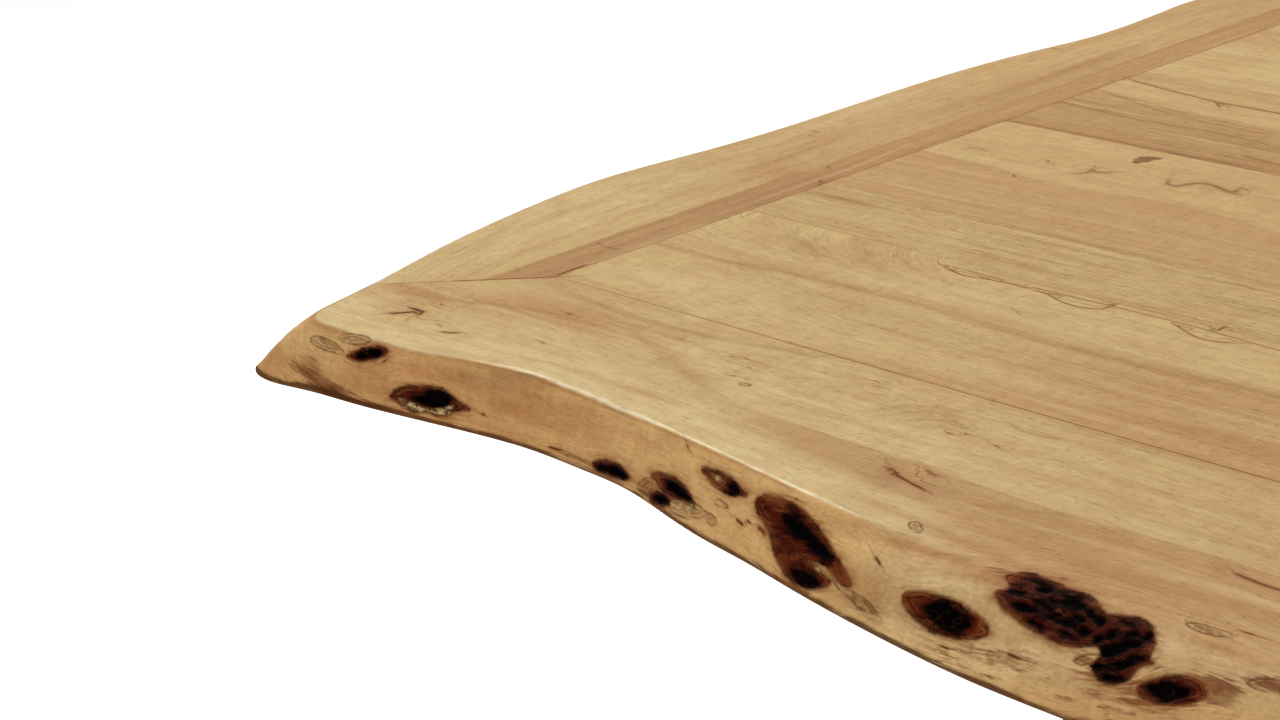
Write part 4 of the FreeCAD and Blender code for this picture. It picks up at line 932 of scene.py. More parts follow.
def side_fields(seed, photo_left=False):
    def make(i):
        X, Y, V, S, T, al = i["X"], i["Y"], i["V"], i["S"], i["T"], i["along"]
        f = blank_fields(X.shape)
        under = S > 1.2
        on_slope = (S > 0.001) & ~under
        top = ~on_slope & ~under
        length = BOARDS[i["name"]][5]
        rims, cores, pales, rings, sp = scattered_edge_knots(-20, length + 20, 31, seed)
        vv = np.where(under, 900.0, V)
        union(f, al, vv, rims, "rim")
        union(f, al, vv, cores, "core")
        union(f, al, vv, pales, "pale")
        nearest_outline(f, al, vv, rings, "ring")
        xt, yt = np.where(top, X, -900.0), np.where(top, Y, -900.0)
        mark_lines(f, np.where(top | under, X, -900.0), np.where(top | under, Y, -900.0), SEAM_MARKS)
        mark_lines(f, xt, yt, TOP_MARKS + as_marks(TOP_SPECKS, 0.75))
        mark_lines(f, al, vv, as_marks(sp))
        depth = i["width"] * (1 - T)                     # mm from the arris, on the top
        inner = i["width"] * T                           # mm from the inner line
        if photo_left:
            y = Y
            edge = line_at([(-70, -28), (0, -28.2), (60, -28.4), (120, -27.6), (160, -28.2), (205, -29.5), (214, -32), (222, -34), (230, -27),
                            (260, -26), (330, -25.5), (416, -24), (520, -25), (600, -26.5), (666, -27), (820, -29)], y)
            f["heart"] = X - edge
            f["heart_on"] = np.where(top, 0.92 + 0.1 * wave(X / 5.0, y / 60.0, 3), 0.0)
            f["red"] += np.where(top, 0.75 * soft(np.hypot((X + 22) / 22, (y - 218) / 12.0), 1.0) + 0.22 * soft(np.hypot((X + 58) / 8, (y - 305) / 60.0), 1.0)
                                 + 0.3 * soft(np.hypot((X + 12) / 5, (y - 90) / 60.0), 1.0), 0)
            f["red"] += np.where(top, 0.30 * ease(y, 170, 260) + 0.35 * soft(np.hypot((X + 50) / 12, (y - 225) / 26.0), 1.0)
                                 + 0.35 * soft(np.hypot((X + 45) / 12, (y - 500) / 60.0), 1.0), 0)
            f["brown"] += np.where(top, 0.34 * soft((X + 40) / 15, 1.0) * ease(y, 330, 430) * (1 - ease(y, 560, 640)) + 0.22 * soft((X + 26) / 2.5, 1.0)
                                   + 0.22 * soft((X + 3.0) / 3.0, 1.0) + 0.12 * soft((X + 14) / 3.0, 1.0)
                                   + 0.35 * soft(np.hypot((X + 3) / 6, (y - 218) / 9.0), 1.0) + 0.16 * ease(y, 560, 760), 0)
            f["light"] += np.where(top, 0.22 * ease(-X, 36, 60) * (1 - ease(y, 120, 330)) + 0.10 * ease(-X, 60, 90), 0)
            f["brown"] += np.where(top, 0.14 * ease(y, 90, 160) * (1 - ease(y, 260, 340)) + 0.16 * ease(X, -30, -24) * (1 - ease(y, 180, 300)), 0)
            f["red"] += np.where(top, 0.10 * soft((X + 48) / 6, 1.0), 0)
        else:
            a = 26.0 + 5.0 * wave(al / 260.0, 1.0, seed) + (0 if length < 1000 else 10)
            f["heart"] = a - inner
            f["heart_on"] = np.where(top, 0.75 + 0.2 * wave(inner / 5.0, al / 60.0, seed + 3), 0.0)
            f["red"] += np.where(top, 0.35 * ease(waves(al / 260.0, inner / 22.0, seed + 4, 2), 0.05, 0.6), 0)
            f["brown"] += np.where(top, 0.3 * ease(waves(al / 300.0, inner / 14.0, seed + 5, 2), 0.1, 0.7), 0)
            f["light"] += np.where(top, 0.5 * ease(T, 0.6, 0.9), 0)
        f["bevel"] = np.where(under, -1.0, np.clip((V - 0.4) / 3.0 + 0.5, 0, 1))
        # painted highlight along the arris of this board, put into the surface colour
        f["arris"] = np.where(under, 0.0, 0.75 * ease(wave(al / 60.0, 6.1, seed + 90), -0.3, 0.3) * (0.6 + 0.5 * wave(al / 7.0, 2.2, seed + 91)) * soft(V / 0.7, 1.0))
        f["stain"] = 0.55 * ease(waves(al / 40.0, V / 8.0, seed + 95, 2), 0.2, 0.7) * on_slope
        sl = on_slope.astype(float)
        f["red"] += sl * 0.4 * ease(waves(al / 46.0, V / 9.0, seed + 31, 2), -0.1, 0.7)
        f["brown"] += sl * 0.45 * ease(waves(al / 70.0, V / 16.0, seed + 41, 2), 0.0, 0.8)
        f["light"] += sl * 0.6 * ease(waves(al / 90.0, V / 13.0, seed + 43, 2), 0.15, 0.8)
        # painted shade on the lower round, where the edge turns under
        f["painted_rim_shade"] = np.where(under, 0.0, ease(S, 0.93, 1.02) * (0.80 + 0.4 * waves(al / 16.0, 1.7, seed + 51, 2)))
        f["streak"] = np.where(top, 0.25, 0.35)
        f["curl"] = np.where(top, 0.4, 0.8)
        w = ease(T, 0.45, 1.0) * ease(al, -20, 70) * ease(length - al, -20, 70)
        wbar = 96.0 if length < 1000 else 122.0
        gy = np.where(top, -inner * (1 - w) + (-wbar * T) * w, -wbar - np.clip(V, 0, None))
        gy = np.where(under, -inner, gy)
        gy = gy + 2.0 * wave(al / 130.0, inner / 60.0, seed + 71) + np.where(on_slope, 1.8 * wave(al / 36.0, V / 18.0, seed + 72), 0)
        gy = gy - _flow(rims, al, vv) + seed * 37.0
        gx, gz = al + 4 * wave(al / 50.0, gy / 12.0, seed + 73) + seed * 91.0, S * 12.0
        push = np.where(on_slope, knot_push(f) + 0.45 * waves(al / 42.0, V / 15.0, seed + 81, 2) * ease(V, 1, 6) * (1 - ease(S, 0.9, 1.0)), 0.0)
        push = push - 0.5 * np.where(on_slope & (np.abs(f["ring"]) < 4), np.exp(-(f["ring"] / 0.9) ** 2), 0.0)
        return f, gx, gy, gz, np.minimum(push, 0.5)
    return make


edge_boards = {}
edge_boards["front_live_edge_board"] = edge_board(
    "front_live_edge_board", [(-100, 1.25), (545, 1.25), (640, 9.0), (2000, 9.0)], 64, 46, front_fields)
edge_boards["left_end_live_edge_board"] = edge_board(
    "left_end_live_edge_board", [(-100, 4.0), (0, 2.6), (900, 2.2)], 44, 26, side_fields(3, True))
edge_boards["right_end_live_edge_board"] = edge_board(
    "right_end_live_edge_board", [(-100, 4.0), (900, 4.0)], 26, 26, side_fields(11))
edge_boards["rear_live_edge_board"] = edge_board(
    "rear_live_edge_board", [(-100, 4.5), (2000, 4.5)], 28, 26, side_fields(23))


# =====================================================================================
# 6. The six planks
# =====================================================================================
def plank_fields(n, X, Y, y0, y1, top, under):
    f = blank_fields(X.shape)
    x, y = X, Y
    patches = [rounded(p) for p in TOP_PATCHES]
    xt = np.where(top, x, -900.0)
    union(f, xt, y, patches, "rim")
    f["stain"] += 1.05 * ease(-f["rim"], -0.8, 0.5)       # a flat brown fault, not a knot
    f["rim"][:] = FAR
    mark_lines(f, np.where(top | under, x, -900.0), y, SEAM_MARKS)
    mark_lines(f, xt, y, TOP_MARKS + as_marks(TOP_SPECKS, 0.75))
    r = np.random.default_rng(300 + n)
    extra = []
    for q in range(4):
        cx, cy = r.uniform(560, 1800), r.uniform(y0 + 8, y1 - 8)
        extra.append(([(cx, cy), (cx + 12, cy + r.uniform(-3, 3)), (cx + 26, cy + r.uniform(-4, 4))], 0.9, r.uniform(.25, .7)))
    mark_lines(f, xt, y, extra)
    knots = []
    for q in range(2):
        if r.random() < 0.55:
            knots.append((r.uniform(700, 1750), r.uniform(y0 + 14, y1 - 14), r.uniform(5, 11), r.uniform(2.6, 5.0), r.uniform(-8, 8)))
    kp = [blob(*o, seed=500 + n * 10 + q, rough=.18) for q, o in enumerate(knots)]
    union(f, xt, y, kp, "rim")
    union(f, xt, y, [blob(o[0], o[1], o[2] * .45, o[3] * .5, o[4], seed=600 + n) for o in knots], "core")
    far = ease(x, 430, 700)
    gy = y.copy()
    gx = x.copy()
    if n == 0:
        # the nested figure round the crack at the rear seam
        d = np.clip(178.0 - x, 0, None)
        d = 62.0 * np.tanh(d / 1.75 / 62.0)
        rho = np.sqrt(d * d + (151.0 - y) ** 2)
        m = (1 - ease(x, 190, 260))
        gy = 151.0 - (rho * m + (151.0 - y) * (1 - m))
        arcs = np.sin(rho / 2.9 + 2.6 * waves(x / 24, y / 14, 5, 2)) * ease(x, 40, 60) * (1 - ease(x, 120, 160)) * ease(y, 88, 112)
        f["brown"] += 0.22 * np.clip(arcs, 0, 1) + 0.26 * soft(np.hypot((x - 82) / 40, (y - 120) / 15.0), 1.0)
        f["red"] += 0.30 * soft(np.hypot((x - 112) / 34, (y - 128) / 12.0), 1.0)
        f["brown"] += 0.30 * soft(y - 147.0, 3.0) * ease(x, 130, 200)
        f["brown"] += 0.42 * soft(y - line_at([(-10, 75), (38, 74), (90, 80), (150, 84), (260, 79), (420, 86)], x), 3.2)
        f["red"] += 0.42 * soft(y - line_at([(0, 84), (74, 85), (150, 87), (260, 82), (420, 78)], x), 6.5)
        f["brown"] += 0.16 * soft(y - line_at([(0, 63), (120, 62), (260, 60), (420, 64)], x), 7.0) * ease(x, 20, 140)
        f["brown"] += 0.14 * soft(y - line_at([(0, 40), (120, 40), (260, 46), (420, 44)], x), 6.0) * ease(x, 60, 160)
        f["red"] += 0.80 * ease(x, 210, 360) * soft(y - 50, 34) * (0.8 + 0.4 * wave(x / 80, y / 10, 6))
        top_red = line_at([(120, 0), (161, 2), (216, 9), (300, 20), (420, 34), (560, 44), (2000, 40)], x)
        f["red"] += 0.62 * (1 - ease(y, top_red - 6, top_red + 8)) * ease(x, 130, 200)
        f["light"] += 0.30 * soft(np.hypot((x - 60) / 80, (y - 30) / 14), 1.0) + 0.25 * soft(np.hypot((x - 200) / 120, (y - 112) / 16), 1.0)
        f["streak"][:] = 0.25 + 0.25 * ease(x, 100, 260) * soft(y - 60, 40)
        f["curl"][:] = 0.5
    elif n == 1:
        f["brown"][:] = 0.10
        f["streak"][:] = 0.50 + 0.75 * ease(x, 40, 150) * (0.7 + 0.3 * wave(x / 140, y / 12, 7))
        f["brown"] += 0.22 * ease(waves(x / 160, y / 7.0, 8, 2), 0.0, 0.6) + 0.18 * soft(y - 216, 3) * ease(x, 60, 200)
        f["brown"] += 0.22 * soft(np.hypot((x - 30) / 26, (y - 200) / 5.0), 1.0) + 0.16 * soft(np.hypot((x - 60) / 40, (y - 187) / 3.5), 1.0)
        f["curl"][:] = 0.25
    elif n == 2:
        b = line_at([(-10, 308), (4, 307), (60, 303), (110, 297.5), (150, 303), (182, 309), (220, 302), (257, 296), (320, 292), (420, 300), (2000, 296)], x)
        f["heart"] = b - y
        f["heart_on"][:] = 0.55
        f["red"] += 0.35 * soft(y - b + 12, 10) + 0.18 * ease(waves(x / 220, y / 18.0, 12, 2), 0, 0.6)
        f["red"] += 0.35 * soft(np.hypot((x - 30) / 18, (y - 228) / 6.0), 1.0)
        f["brown"] += 0.14 * soft(y - line_at([(0, 262), (120, 268), (260, 262), (420, 270), (2000, 262)], x), 3.0)
        f["red"] += 0.14 * ease(y - b, 4, 24)
        f["brown"] += 0.2 * soft(y - 320, 2.5) * ease(x, 20, 60) * (1 - ease(x, 140, 190)) + 0.16 * soft(np.hypot((x - 178) / 30, (y - 345) / 10.0), 1.0)
        f["streak"][:] = 0.22
        f["curl"][:] = 0.4
    elif n == 3:
        b = line_at([(0, 488), (60, 480), (120, 474), (200, 470), (420, 476), (2000, 470)], x)
        f["heart"] = b - y
        f["heart_on"][:] = 0.50
        f["brown"] += 0.26 * (1 - ease(y, b - 30, b + 2)) + 0.16 * ease(waves(x / 200, y / 9.0, 13, 3), 0.0, 0.6) * (1 - ease(y, b - 4, b + 4))
        f["red"] += 0.22 * (1 - ease(y, 396, 420))
        f["red"] += 0.30 * ease(y, b - 6, b + 14)
        f["streak"][:] = 0.55 * (1 - ease(y, b - 4, b + 6)) + 0.2
        f["curl"][:] = 0.4
    elif n == 4:
        f["light"][:] = 0.10
        f["streak"][:] = 0.30
        f["red"] += 0.5 * ease(y, 628, 660) * (1 - ease(x, 60, 260) * 0.5)
        f["brown"] += 0.14 * ease(waves(x / 180, y / 8.0, 14, 3), 0.0, 0.6) + 0.25 * soft(y - 541, 3)
        f["curl"][:] = 0.4
    else:
        f["light"][:] = 0.15
        f["streak"][:] = 0.35
        f["brown"] += 0.15
        f["curl"][:] = 0.3
    # beyond the photo: broad natural stripes of each plank
    s = 700 + n * 13
    f["red"] += far * 0.45 * ease(waves(x / 420.0, y / 34.0, s, 2), 0.05, 0.55)
    f["brown"] += far * 0.32 * ease(waves(x / 380.0, y / 16.0, s + 1, 3), 0.1, 0.6)
    gy = gy + 3.0 * wave(x / 190.0, y / 70.0, s + 2) + 1.0 * wave(x / 60.0, y / 20.0, s + 3)
    gy = gy - _flow(kp, x, y)
    push = -(0.5 * ease(-f["rim"], -0.4, 1.2) + 0.4 * ease(-f["core"], -0.4, 1.0)) * top
    return f, gx + 4 * wave(x / 50.0, gy / 12.0, s + 4) + 310.0 * n, gy + 53.0 * n, push


def plank(n):
    y0, y1 = PLANK_SEAMS[n], PLANK_SEAMS[n + 1]
    CH = 0.12
    xs = np.concatenate([[0.0], spaced(CH, FIELD_L - CH, [(0, 2.6), (500, 2.6), (640, 7.0), (2000, 7.0)]), [FIELD_L]])
    m = max(8, int(round((y1 - y0) / 2.3)))
    ys = y0 + CH + (y1 - y0 - 2 * CH) * np.linspace(0, 1, m + 1)
    prof = [(y0, TOP_LOW), (y0, TOP_LOW + 17), (y0, TOP_Z - CH)] + [(y, TOP_Z) for y in ys] + [(y1, TOP_Z - CH), (y1, TOP_LOW + 17), (y1, TOP_LOW)]
    und = max(3, m // 5)
    prof += [(y1 + (y0 - y1) * k / und, TOP_LOW) for k in range(1, und)]
    prof = np.array(prof)
    nr, nc = len(prof), len(xs)
    X = np.broadcast_to(xs[None, :], (nr, nc)).copy()
    Y = np.broadcast_to(prof[:, 0][:, None], (nr, nc)).copy()
    Z = np.broadcast_to(prof[:, 1][:, None], (nr, nc)).copy()
    top = Z > TOP_Z - 1
    under = Z < TOP_LOW + 1
    Z[:, 0] = np.where(top[:, 0], TOP_Z - CH, Z[:, 0])
    Z[:, -1] = np.where(top[:, -1], TOP_Z - CH, Z[:, -1])
    f, gx, gy, push = plank_fields(n, X, Y, y0, y1, top, under)
    f["bevel"] = np.where(under, -1.0, 0.0)
    inner_top = top.copy()
    inner_top[:, 0] = inner_top[:, -1] = False
    Z = Z + np.where(inner_top, push, 0.0)
    gz = (TOP_Z - Z)
    verts = np.stack([X + FX0, Y + FY0, Z], -1).reshape(-1, 3) / 1000.0
    idx = np.arange(nr * nc).reshape(nr, nc)
    nxt = np.roll(idx, -1, axis=0)
    quads = np.stack([idx[:, :-1], idx[:, 1:], nxt[:, 1:], nxt[:, :-1]], -1).reshape(-1, 4)
    faces = [tuple(q) for q in quads] + [tuple(idx[::-1, 0]), tuple(idx[:, -1])]
    return make_mesh("wood_field_plank_%d" % (n + 1), verts, faces, True, field_attributes(f, gx, gy, gz), sharp_angle=38)


planks = [plank(n) for n in range(6)]


# =====================================================================================
# 6b. Levelling feet and welds
# =====================================================================================
def turned(name, centre, rings, n=48, sharp=32):
    """closed turned shape from rings of (z, radius or radii), in mm"""
    th = np.arange(n) * 2 * np.pi / n
    verts, k = [], 0
    for z, r in rings:
        rr = np.broadcast_to(np.asarray(r, float), (n,))
        verts.append(np.stack([centre[0] + rr * np.cos(th), centre[1] + rr * np.sin(th), np.full(n, z)], -1))
    v = np.concatenate(verts + [np.array([[centre[0], centre[1], rings[0][0]], [centre[0], centre[1], rings[-1][0]]])]) / 1000.0
    m = len(rings)
    faces = []
    for i in range(m - 1):
        a, b = i * n, (i + 1) * n
        for j in range(n):
            q = (j + 1) % n
            faces.append((a + j, a + q, b + q, b + j))
    low, high = m * n, m * n + 1
    for j in range(n):
        q = (j + 1) % n
        faces.append((q, j, low))
        faces.append(((m - 1) * n + j, (m - 1) * n + q, high))
    return make_mesh(name, v, faces, True, None, sharp_angle=sharp)


def stud(name, centre):
    n = 48
    th = np.arange(n) * 2 * np.pi / n
    flat = 7.0 / np.cos((th + math.pi / 6) % (math.pi / 3) - math.pi / 6)
    rings = [(4.2, 3.4), (4.7, 3.95), (10.1, 3.95), (10.1, np.minimum(flat, 6.9)), (10.5, np.minimum(flat, 7.6)), (10.9, flat),
             (13.2, flat), (13.6, np.minimum(flat, 7.6)), (14.0, np.minimum(flat, 6.9)), (14.0, 5.1), (14.3, 4.25), (15.2, 4.15)]
    pitch, z0, z1 = 1.5, 15.4, 55.4
    for z in np.arange(z0, z1, 0.25):
        ph = (z / pitch - th / (2 * np.pi)) % 1.0
        ridge = np.clip(1.5 - np.abs(ph - 0.5) * 3.4, 0, 1)
        grow = float(ease(z, z0, z0 + 1.5) * (1 - ease(z, z1 - 1.6, z1)))
        rings.append((z, 4.12 + 0.76 * ridge * grow))
    rings += [(55.6, 4.1), (56.0, 3.7)]
    return turned(name, centre, rings, n, 40)


def pad(name, centre):
    n = 144
    th = np.arange(n) * 2 * np.pi / n
    grip = 0.35 * (0.5 + 0.5 * np.cos(36 * th))
    rib = 0.5 + 0.5 * np.cos(12 * th)
    rings = [(2.0, 24.4 - grip), (2.25, 24.85 - grip), (2.6, 25.0 - grip), (4.3, 25.0 - grip), (4.75, 24.8 - grip), (5.0, 24.3 - 0.5 * grip),
             (5.02, 23.2), (5.25, 22.6), (5.5 + 0.0, 21.6)]
    for z, r in ((6.2, 19.2), (7.0, 16.9), (7.8, 14.6), (8.6, 12.5), (9.2, 10.9)):
        rings.append((z, r - 0.5 * (1 - rib) * float(ease(z, 5.6, 6.4) * (1 - ease(z, 8.4, 9.2)))))
    rings += [(9.6, 9.6), (9.85, 9.0), (10.0, 8.3), (10.0, 4.3), (9.7, 4.0), (5.0, 4.0)]
    return turned(name, centre, rings, n, 30)


def sole(name, centre):
    n = 72
    rings = [(0.75, 3.0), (0.0, 3.5)]
    for r in (6.5, 10.5, 14.5, 18.5):
        rings += [(0.0, r), (0.12, r + 0.15), (0.6, r + 0.35), (0.6, r + 0.95), (0.12, r + 1.15), (0.0, r + 1.3)]
    rings += [(0.0, 23.3), (0.15, 23.75), (0.5, 24.0), (1.9, 24.0), (2.0, 23.9)]
    return turned(name, centre, rings, n, 30)


def weld(name, a, b, side, up, leg=3.2, ripple=1.35, seed=1):
    """a fillet weld from a to b (mm): side and up point along the two plates that it joins"""
    a, b, side, up = (np.array(q, float) for q in (a, b, side, up))
    length = np.linalg.norm(b - a)
    t = (b - a) / length
    n = max(8, int(length / 0.45))
    s = np.linspace(0, length, n + 1)
    ph = (s / ripple + 0.25 * wave(s / 9.0, 0.3, seed)) % 1.0
    swell = (0.88 + 0.16 * np.sqrt(np.clip(1 - (ph * 1.0) ** 2, 0, 1)) + 0.05 * wave(s / 7.0, 1.3, seed + 1)) * leg
    ends = np.minimum(np.sqrt(np.clip(s / 2.4, 0.02, 1)), np.sqrt(np.clip((length - s) / 2.4, 0.02, 1)))
    swell = swell * ends
    q = np.linspace(0, math.pi / 2, 7)
    ring = []
    for k in q:
        c, d = math.cos(k), math.sin(k)
        bulge = 0.80 + 0.10 * math.sin(2 * k)
        ring.append(side * (c ** 1.4) * bulge / 0.80 + up * (d ** 1.4) * bulge / 0.80)
    ring.append(-0.12 * (side + up))
    ring = np.array(ring)
    pts = a[None, None, :] + t[None, None, :] * s[:, None, None] + ring[None, :, :] * swell[:, None, None]
    m = len(ring)
    faces = []
    for i in range(n):
        for j in range(m):
            k = (j + 1) % m
            faces.append((i * m + j, i * m + k, (i + 1) * m + k, (i + 1) * m + j))
    faces.append(tuple(range(m))[::-1])
    faces.append(tuple(n * m + j for j in range(m)))
    verts = pts.reshape(-1, 3)
    if np.dot(np.cross(side, up), t) < 0:
        faces = [f[::-1] for f in faces]
    return verts / 1000.0, faces


def ground_seam(a, b, normal, width=5.0, height=0.35, seed=1):
    """a weld across a flat face that was dressed down and painted over: a low, uneven ridge"""
    a, b, normal = (np.array(q, float) for q in (a, b, normal))
    length = np.linalg.norm(b - a)
    t = (b - a) / length
    across = np.cross(normal, t)
    n = max(8, int(length / 0.6))
    s = np.linspace(0, length, n + 1)
    w = width * (1.0 + 0.14 * waves(s / 6.0, 0.7, seed, 2))
    h = height * (0.75 + 0.45 * waves(s / 3.0, 2.7, seed + 5, 2))
    prof = [(-0.5, -0.4, 0.0), (-0.46, 0.02, 0.10), (-0.28, 0.05, 0.72), (0.0, 0.05, 1.0), (0.28, 0.05, 0.72), (0.46, 0.02, 0.10), (0.5, -0.4, 0.0)]
    pts = np.stack([a + t * s[:, None] + across * (w * c)[:, None] + normal * (d + h * e)[:, None] for c, d, e in prof], 1)
    m = len(prof)
    faces = []
    for i in range(n):
        for j in range(m):
            k = (j + 1) % m
            faces.append((i * m + j, i * m + k, (i + 1) * m + k, (i + 1) * m + j))
    faces.append(tuple(range(m))[::-1])
    faces.append(tuple(n * m + j for j in range(m)))
    # the profile runs from -across to +across over the top: reversed so that the faces look outward
    faces = [f[::-1] for f in faces]
    return pts.reshape(-1, 3) / 1000.0, faces


def welds(name, runs):
    """all the welds of one leg as one mesh"""
    verts, faces, base = [], [], 0
    for i, (a, b, side, up, leg) in enumerate(runs):
        v, f = weld(name, a, b, side, up, leg, seed=40 + i) if leg else ground_seam(a, b, up, seed=70 + i)
        verts.append(v)
        faces += [tuple(k + base for k in q) for q in f]
        base += len(v)
    return make_mesh(name, np.concatenate(verts), faces, True, None, sharp_angle=50)


LEG_X, FOOT_Y = 580.0, 290.0
hardware = []
for corner, sx, sy in (("front_left", -1, -1), ("front_right", 1, -1), ("rear_left", -1, 1), ("rear_right", 1, 1)):
    c = (sx * LEG_X, sy * FOOT_Y)
    hardware.append((stud("threaded_" + corner + "_stud", c), corner + "_stud", corner + "_foot_stud", "zinc_steel"))
    hardware.append((pad("moulded_" + corner + "_pad", c), corner + "_foot", corner + "_foot_pad", "foot_plastic"))
    hardware.append((sole("ribbed_" + corner + "_sole", c), corner + "_foot", corner + "_foot_sole", "sole_rubber"))
leg_welds = []
for side_name, sx in (("left", -1), ("right", 1)):
    xc = sx * LEG_X
    runs = []
    for sy in (-1, 1):
        # inner corners of the box: rail to post, top and bottom
        runs.append(((xc - 36, sy * 300, 62), (xc + 36, sy * 300, 62), (0, -sy, 0), (0, 0, 1), 3.6))
        runs.append(((xc - 36, sy * 300, 678), (xc + 36, sy * 300, 678), (0, -sy, 0), (0, 0, -1), 3.6))
    for dx in (-1, 1):
        for sy in (-1, 1):
            # mitre seams of the box on its two flat faces
            runs.append(((xc + dx * 40, sy * 308, 686), (xc + dx * 40, sy * 332, 710), None, (dx, 0, 0), 0))
            runs.append(((xc + dx * 40, sy * 308, 54), (xc + dx * 40, sy * 332, 30), None, (dx, 0, 0), 0))
        # stitch welds between the mounting plate and the top rail
        for k in range(-2, 3):
            runs.append(((xc + dx * 36.5, k * 130 - 26, 718), (xc + dx * 36.5, k * 130 + 26, 718), (dx, 0, 0), (0, 0, -1), 4.6))
    leg_welds.append(welds("weld_beads_" + side_name, runs))


# =====================================================================================
# 7. Materials
# =====================================================================================
def lin(*rgb):
    return tuple((c / 255.0 / 12.92) if c <= 10.31475 else (((c / 255.0 + 0.055) / 1.055) ** 2.4) for c in rgb) + (1.0,)


class Nodes:
    def __init__(self, name):
        self.mat = bpy.data.materials.new(name)
        self.mat.use_nodes = True
        self.t = self.mat.node_tree
        self.t.nodes.clear()
        self.out = self.t.nodes.new("ShaderNodeOutputMaterial")
        self.bsdf = self.t.nodes.new("ShaderNodeBsdfPrincipled")
        self.t.links.new(self.bsdf.outputs[0], self.out.inputs[0])

    def node(self, kind, **kw):
        n = self.t.nodes.new(kind)
        for k, v in kw.items():
            setattr(n, k, v)
        return n

    def put(self, socket, value):
        if value is None:
            return
        if isinstance(value, bpy.types.NodeSocket):
            self.t.links.new(value, socket)
        elif socket.type == "RGBA" and not hasattr(value, "__len__"):
            socket.default_value = (value, value, value, 1.0)
        else:
            socket.default_value = value

    def math(self, op, a, b=None, c=None, clamp=False):
        n = self.node("ShaderNodeMath", operation=op, use_clamp=clamp)
        for s, v in zip(n.inputs, (a, b, c)):
            self.put(s, v)
        return n.outputs[0]

    def add(self, a, b):
        return self.math("ADD", a, b)

    def mul(self, a, b):
        return self.math("MULTIPLY", a, b)

    def fma(self, a, b, c):
        return self.math("MULTIPLY_ADD", a, b, c)

    def remap(self, v, a, b, c=0.0, d=1.0, smooth=True):
        n = self.node("ShaderNodeMapRange", clamp=True, interpolation_type="SMOOTHSTEP" if smooth else "LINEAR")
        for s, q in zip(n.inputs, (v, a, b, c, d)):
            self.put(s, q)
        return n.outputs[0]

    def mix(self, fac, a, b, blend="MIX"):
        n = self.node("ShaderNodeMix", data_type="RGBA", blend_type=blend)
        self.put(n.inputs[0], fac)
        self.put(n.inputs[6], a)
        self.put(n.inputs[7], b)
        return n.outputs[2]

    def attr(self, name):
        n = self.node("ShaderNodeAttribute", attribute_name=name)
        return n.outputs["Vector"]

    def split(self, v):
        n = self.node("ShaderNodeSeparateXYZ")
        self.put(n.inputs[0], v)
        return n.outputs[0], n.outputs[1], n.outputs[2]

    def vec(self, x, y, z):
        n = self.node("ShaderNodeCombineXYZ")
        for s, q in zip(n.inputs, (x, y, z)):
            self.put(s, q)
        return n.outputs[0]

    def scale(self, v, x, y, z):
        n = self.node("ShaderNodeVectorMath", operation="MULTIPLY")
        self.put(n.inputs[0], v)
        n.inputs[1].default_value = (x, y, z)
        return n.outputs[0]

    def noise(self, v, scale=1.0, detail=2.0, rough=0.5, distortion=0.0):
        n = self.node("ShaderNodeTexNoise", noise_dimensions="3D")
        self.put(n.inputs["Vector"], v)
        n.inputs["Scale"].default_value = scale
        n.inputs["Detail"].default_value = detail
        n.inputs["Roughness"].default_value = rough
        n.inputs["Distortion"].default_value = distortion
        return n.outputs["Fac"]

    def cells(self, v, scale=1.0, feature="F1"):
        n = self.node("ShaderNodeTexVoronoi", feature=feature)
        self.put(n.inputs["Vector"], v)
        n.inputs["Scale"].default_value = scale
        return n.outputs["Distance"], n.outputs["Color"]

    def bump(self, height, strength=1.0, distance=0.001, normal=None):
        n = self.node("ShaderNodeBump")
        n.inputs["Strength"].default_value = strength
        n.inputs["Distance"].default_value = distance
        self.put(n.inputs["Height"], height)
        if normal is not None:
            self.put(n.inputs["Normal"], normal)
        return n.outputs[0]

    def set(self, **kw):
        for k, v in kw.items():
            self.put(self.bsdf.inputs[k.replace("_", " ")], v)


SAP = lin(202, 172, 119)
STRAW = lin(226, 202, 152)
RED = lin(187, 143, 97)
BROWN = lin(154, 113, 71)
GREYBROWN = lin(140, 110, 60)
HEART = lin(184, 142, 97)
SLOPE = lin(196, 143, 88)
SLOPE_DEEP = lin(170, 116, 66)
SLOPE_RED = lin(180, 118, 72)
SLOPE_BROWN = lin(138, 88, 46)
SLOPE_LIGHT = lin(228, 188, 126)
ARRIS_HIGHLIGHT = lin(250, 232, 192)
STAIN = lin(104, 56, 24)
PAINTED_RIM_SHADE = lin(76, 38, 14)
HALO = lin(140, 84, 42)
KNOT_BROWN = lin(118, 56, 26)
KNOT_MAROON = lin(82, 24, 7)
KNOT_DARK = lin(34, 5, 0)
KNOT_TAN = lin(150, 88, 46)
KNOT_BLACK = lin(2, 0, 0)
PALE = lin(206, 180, 124)
PALE_GREY = lin(178, 150, 100)
RINGLINE = lin(104, 56, 22)
MARK = lin(96, 42, 16)


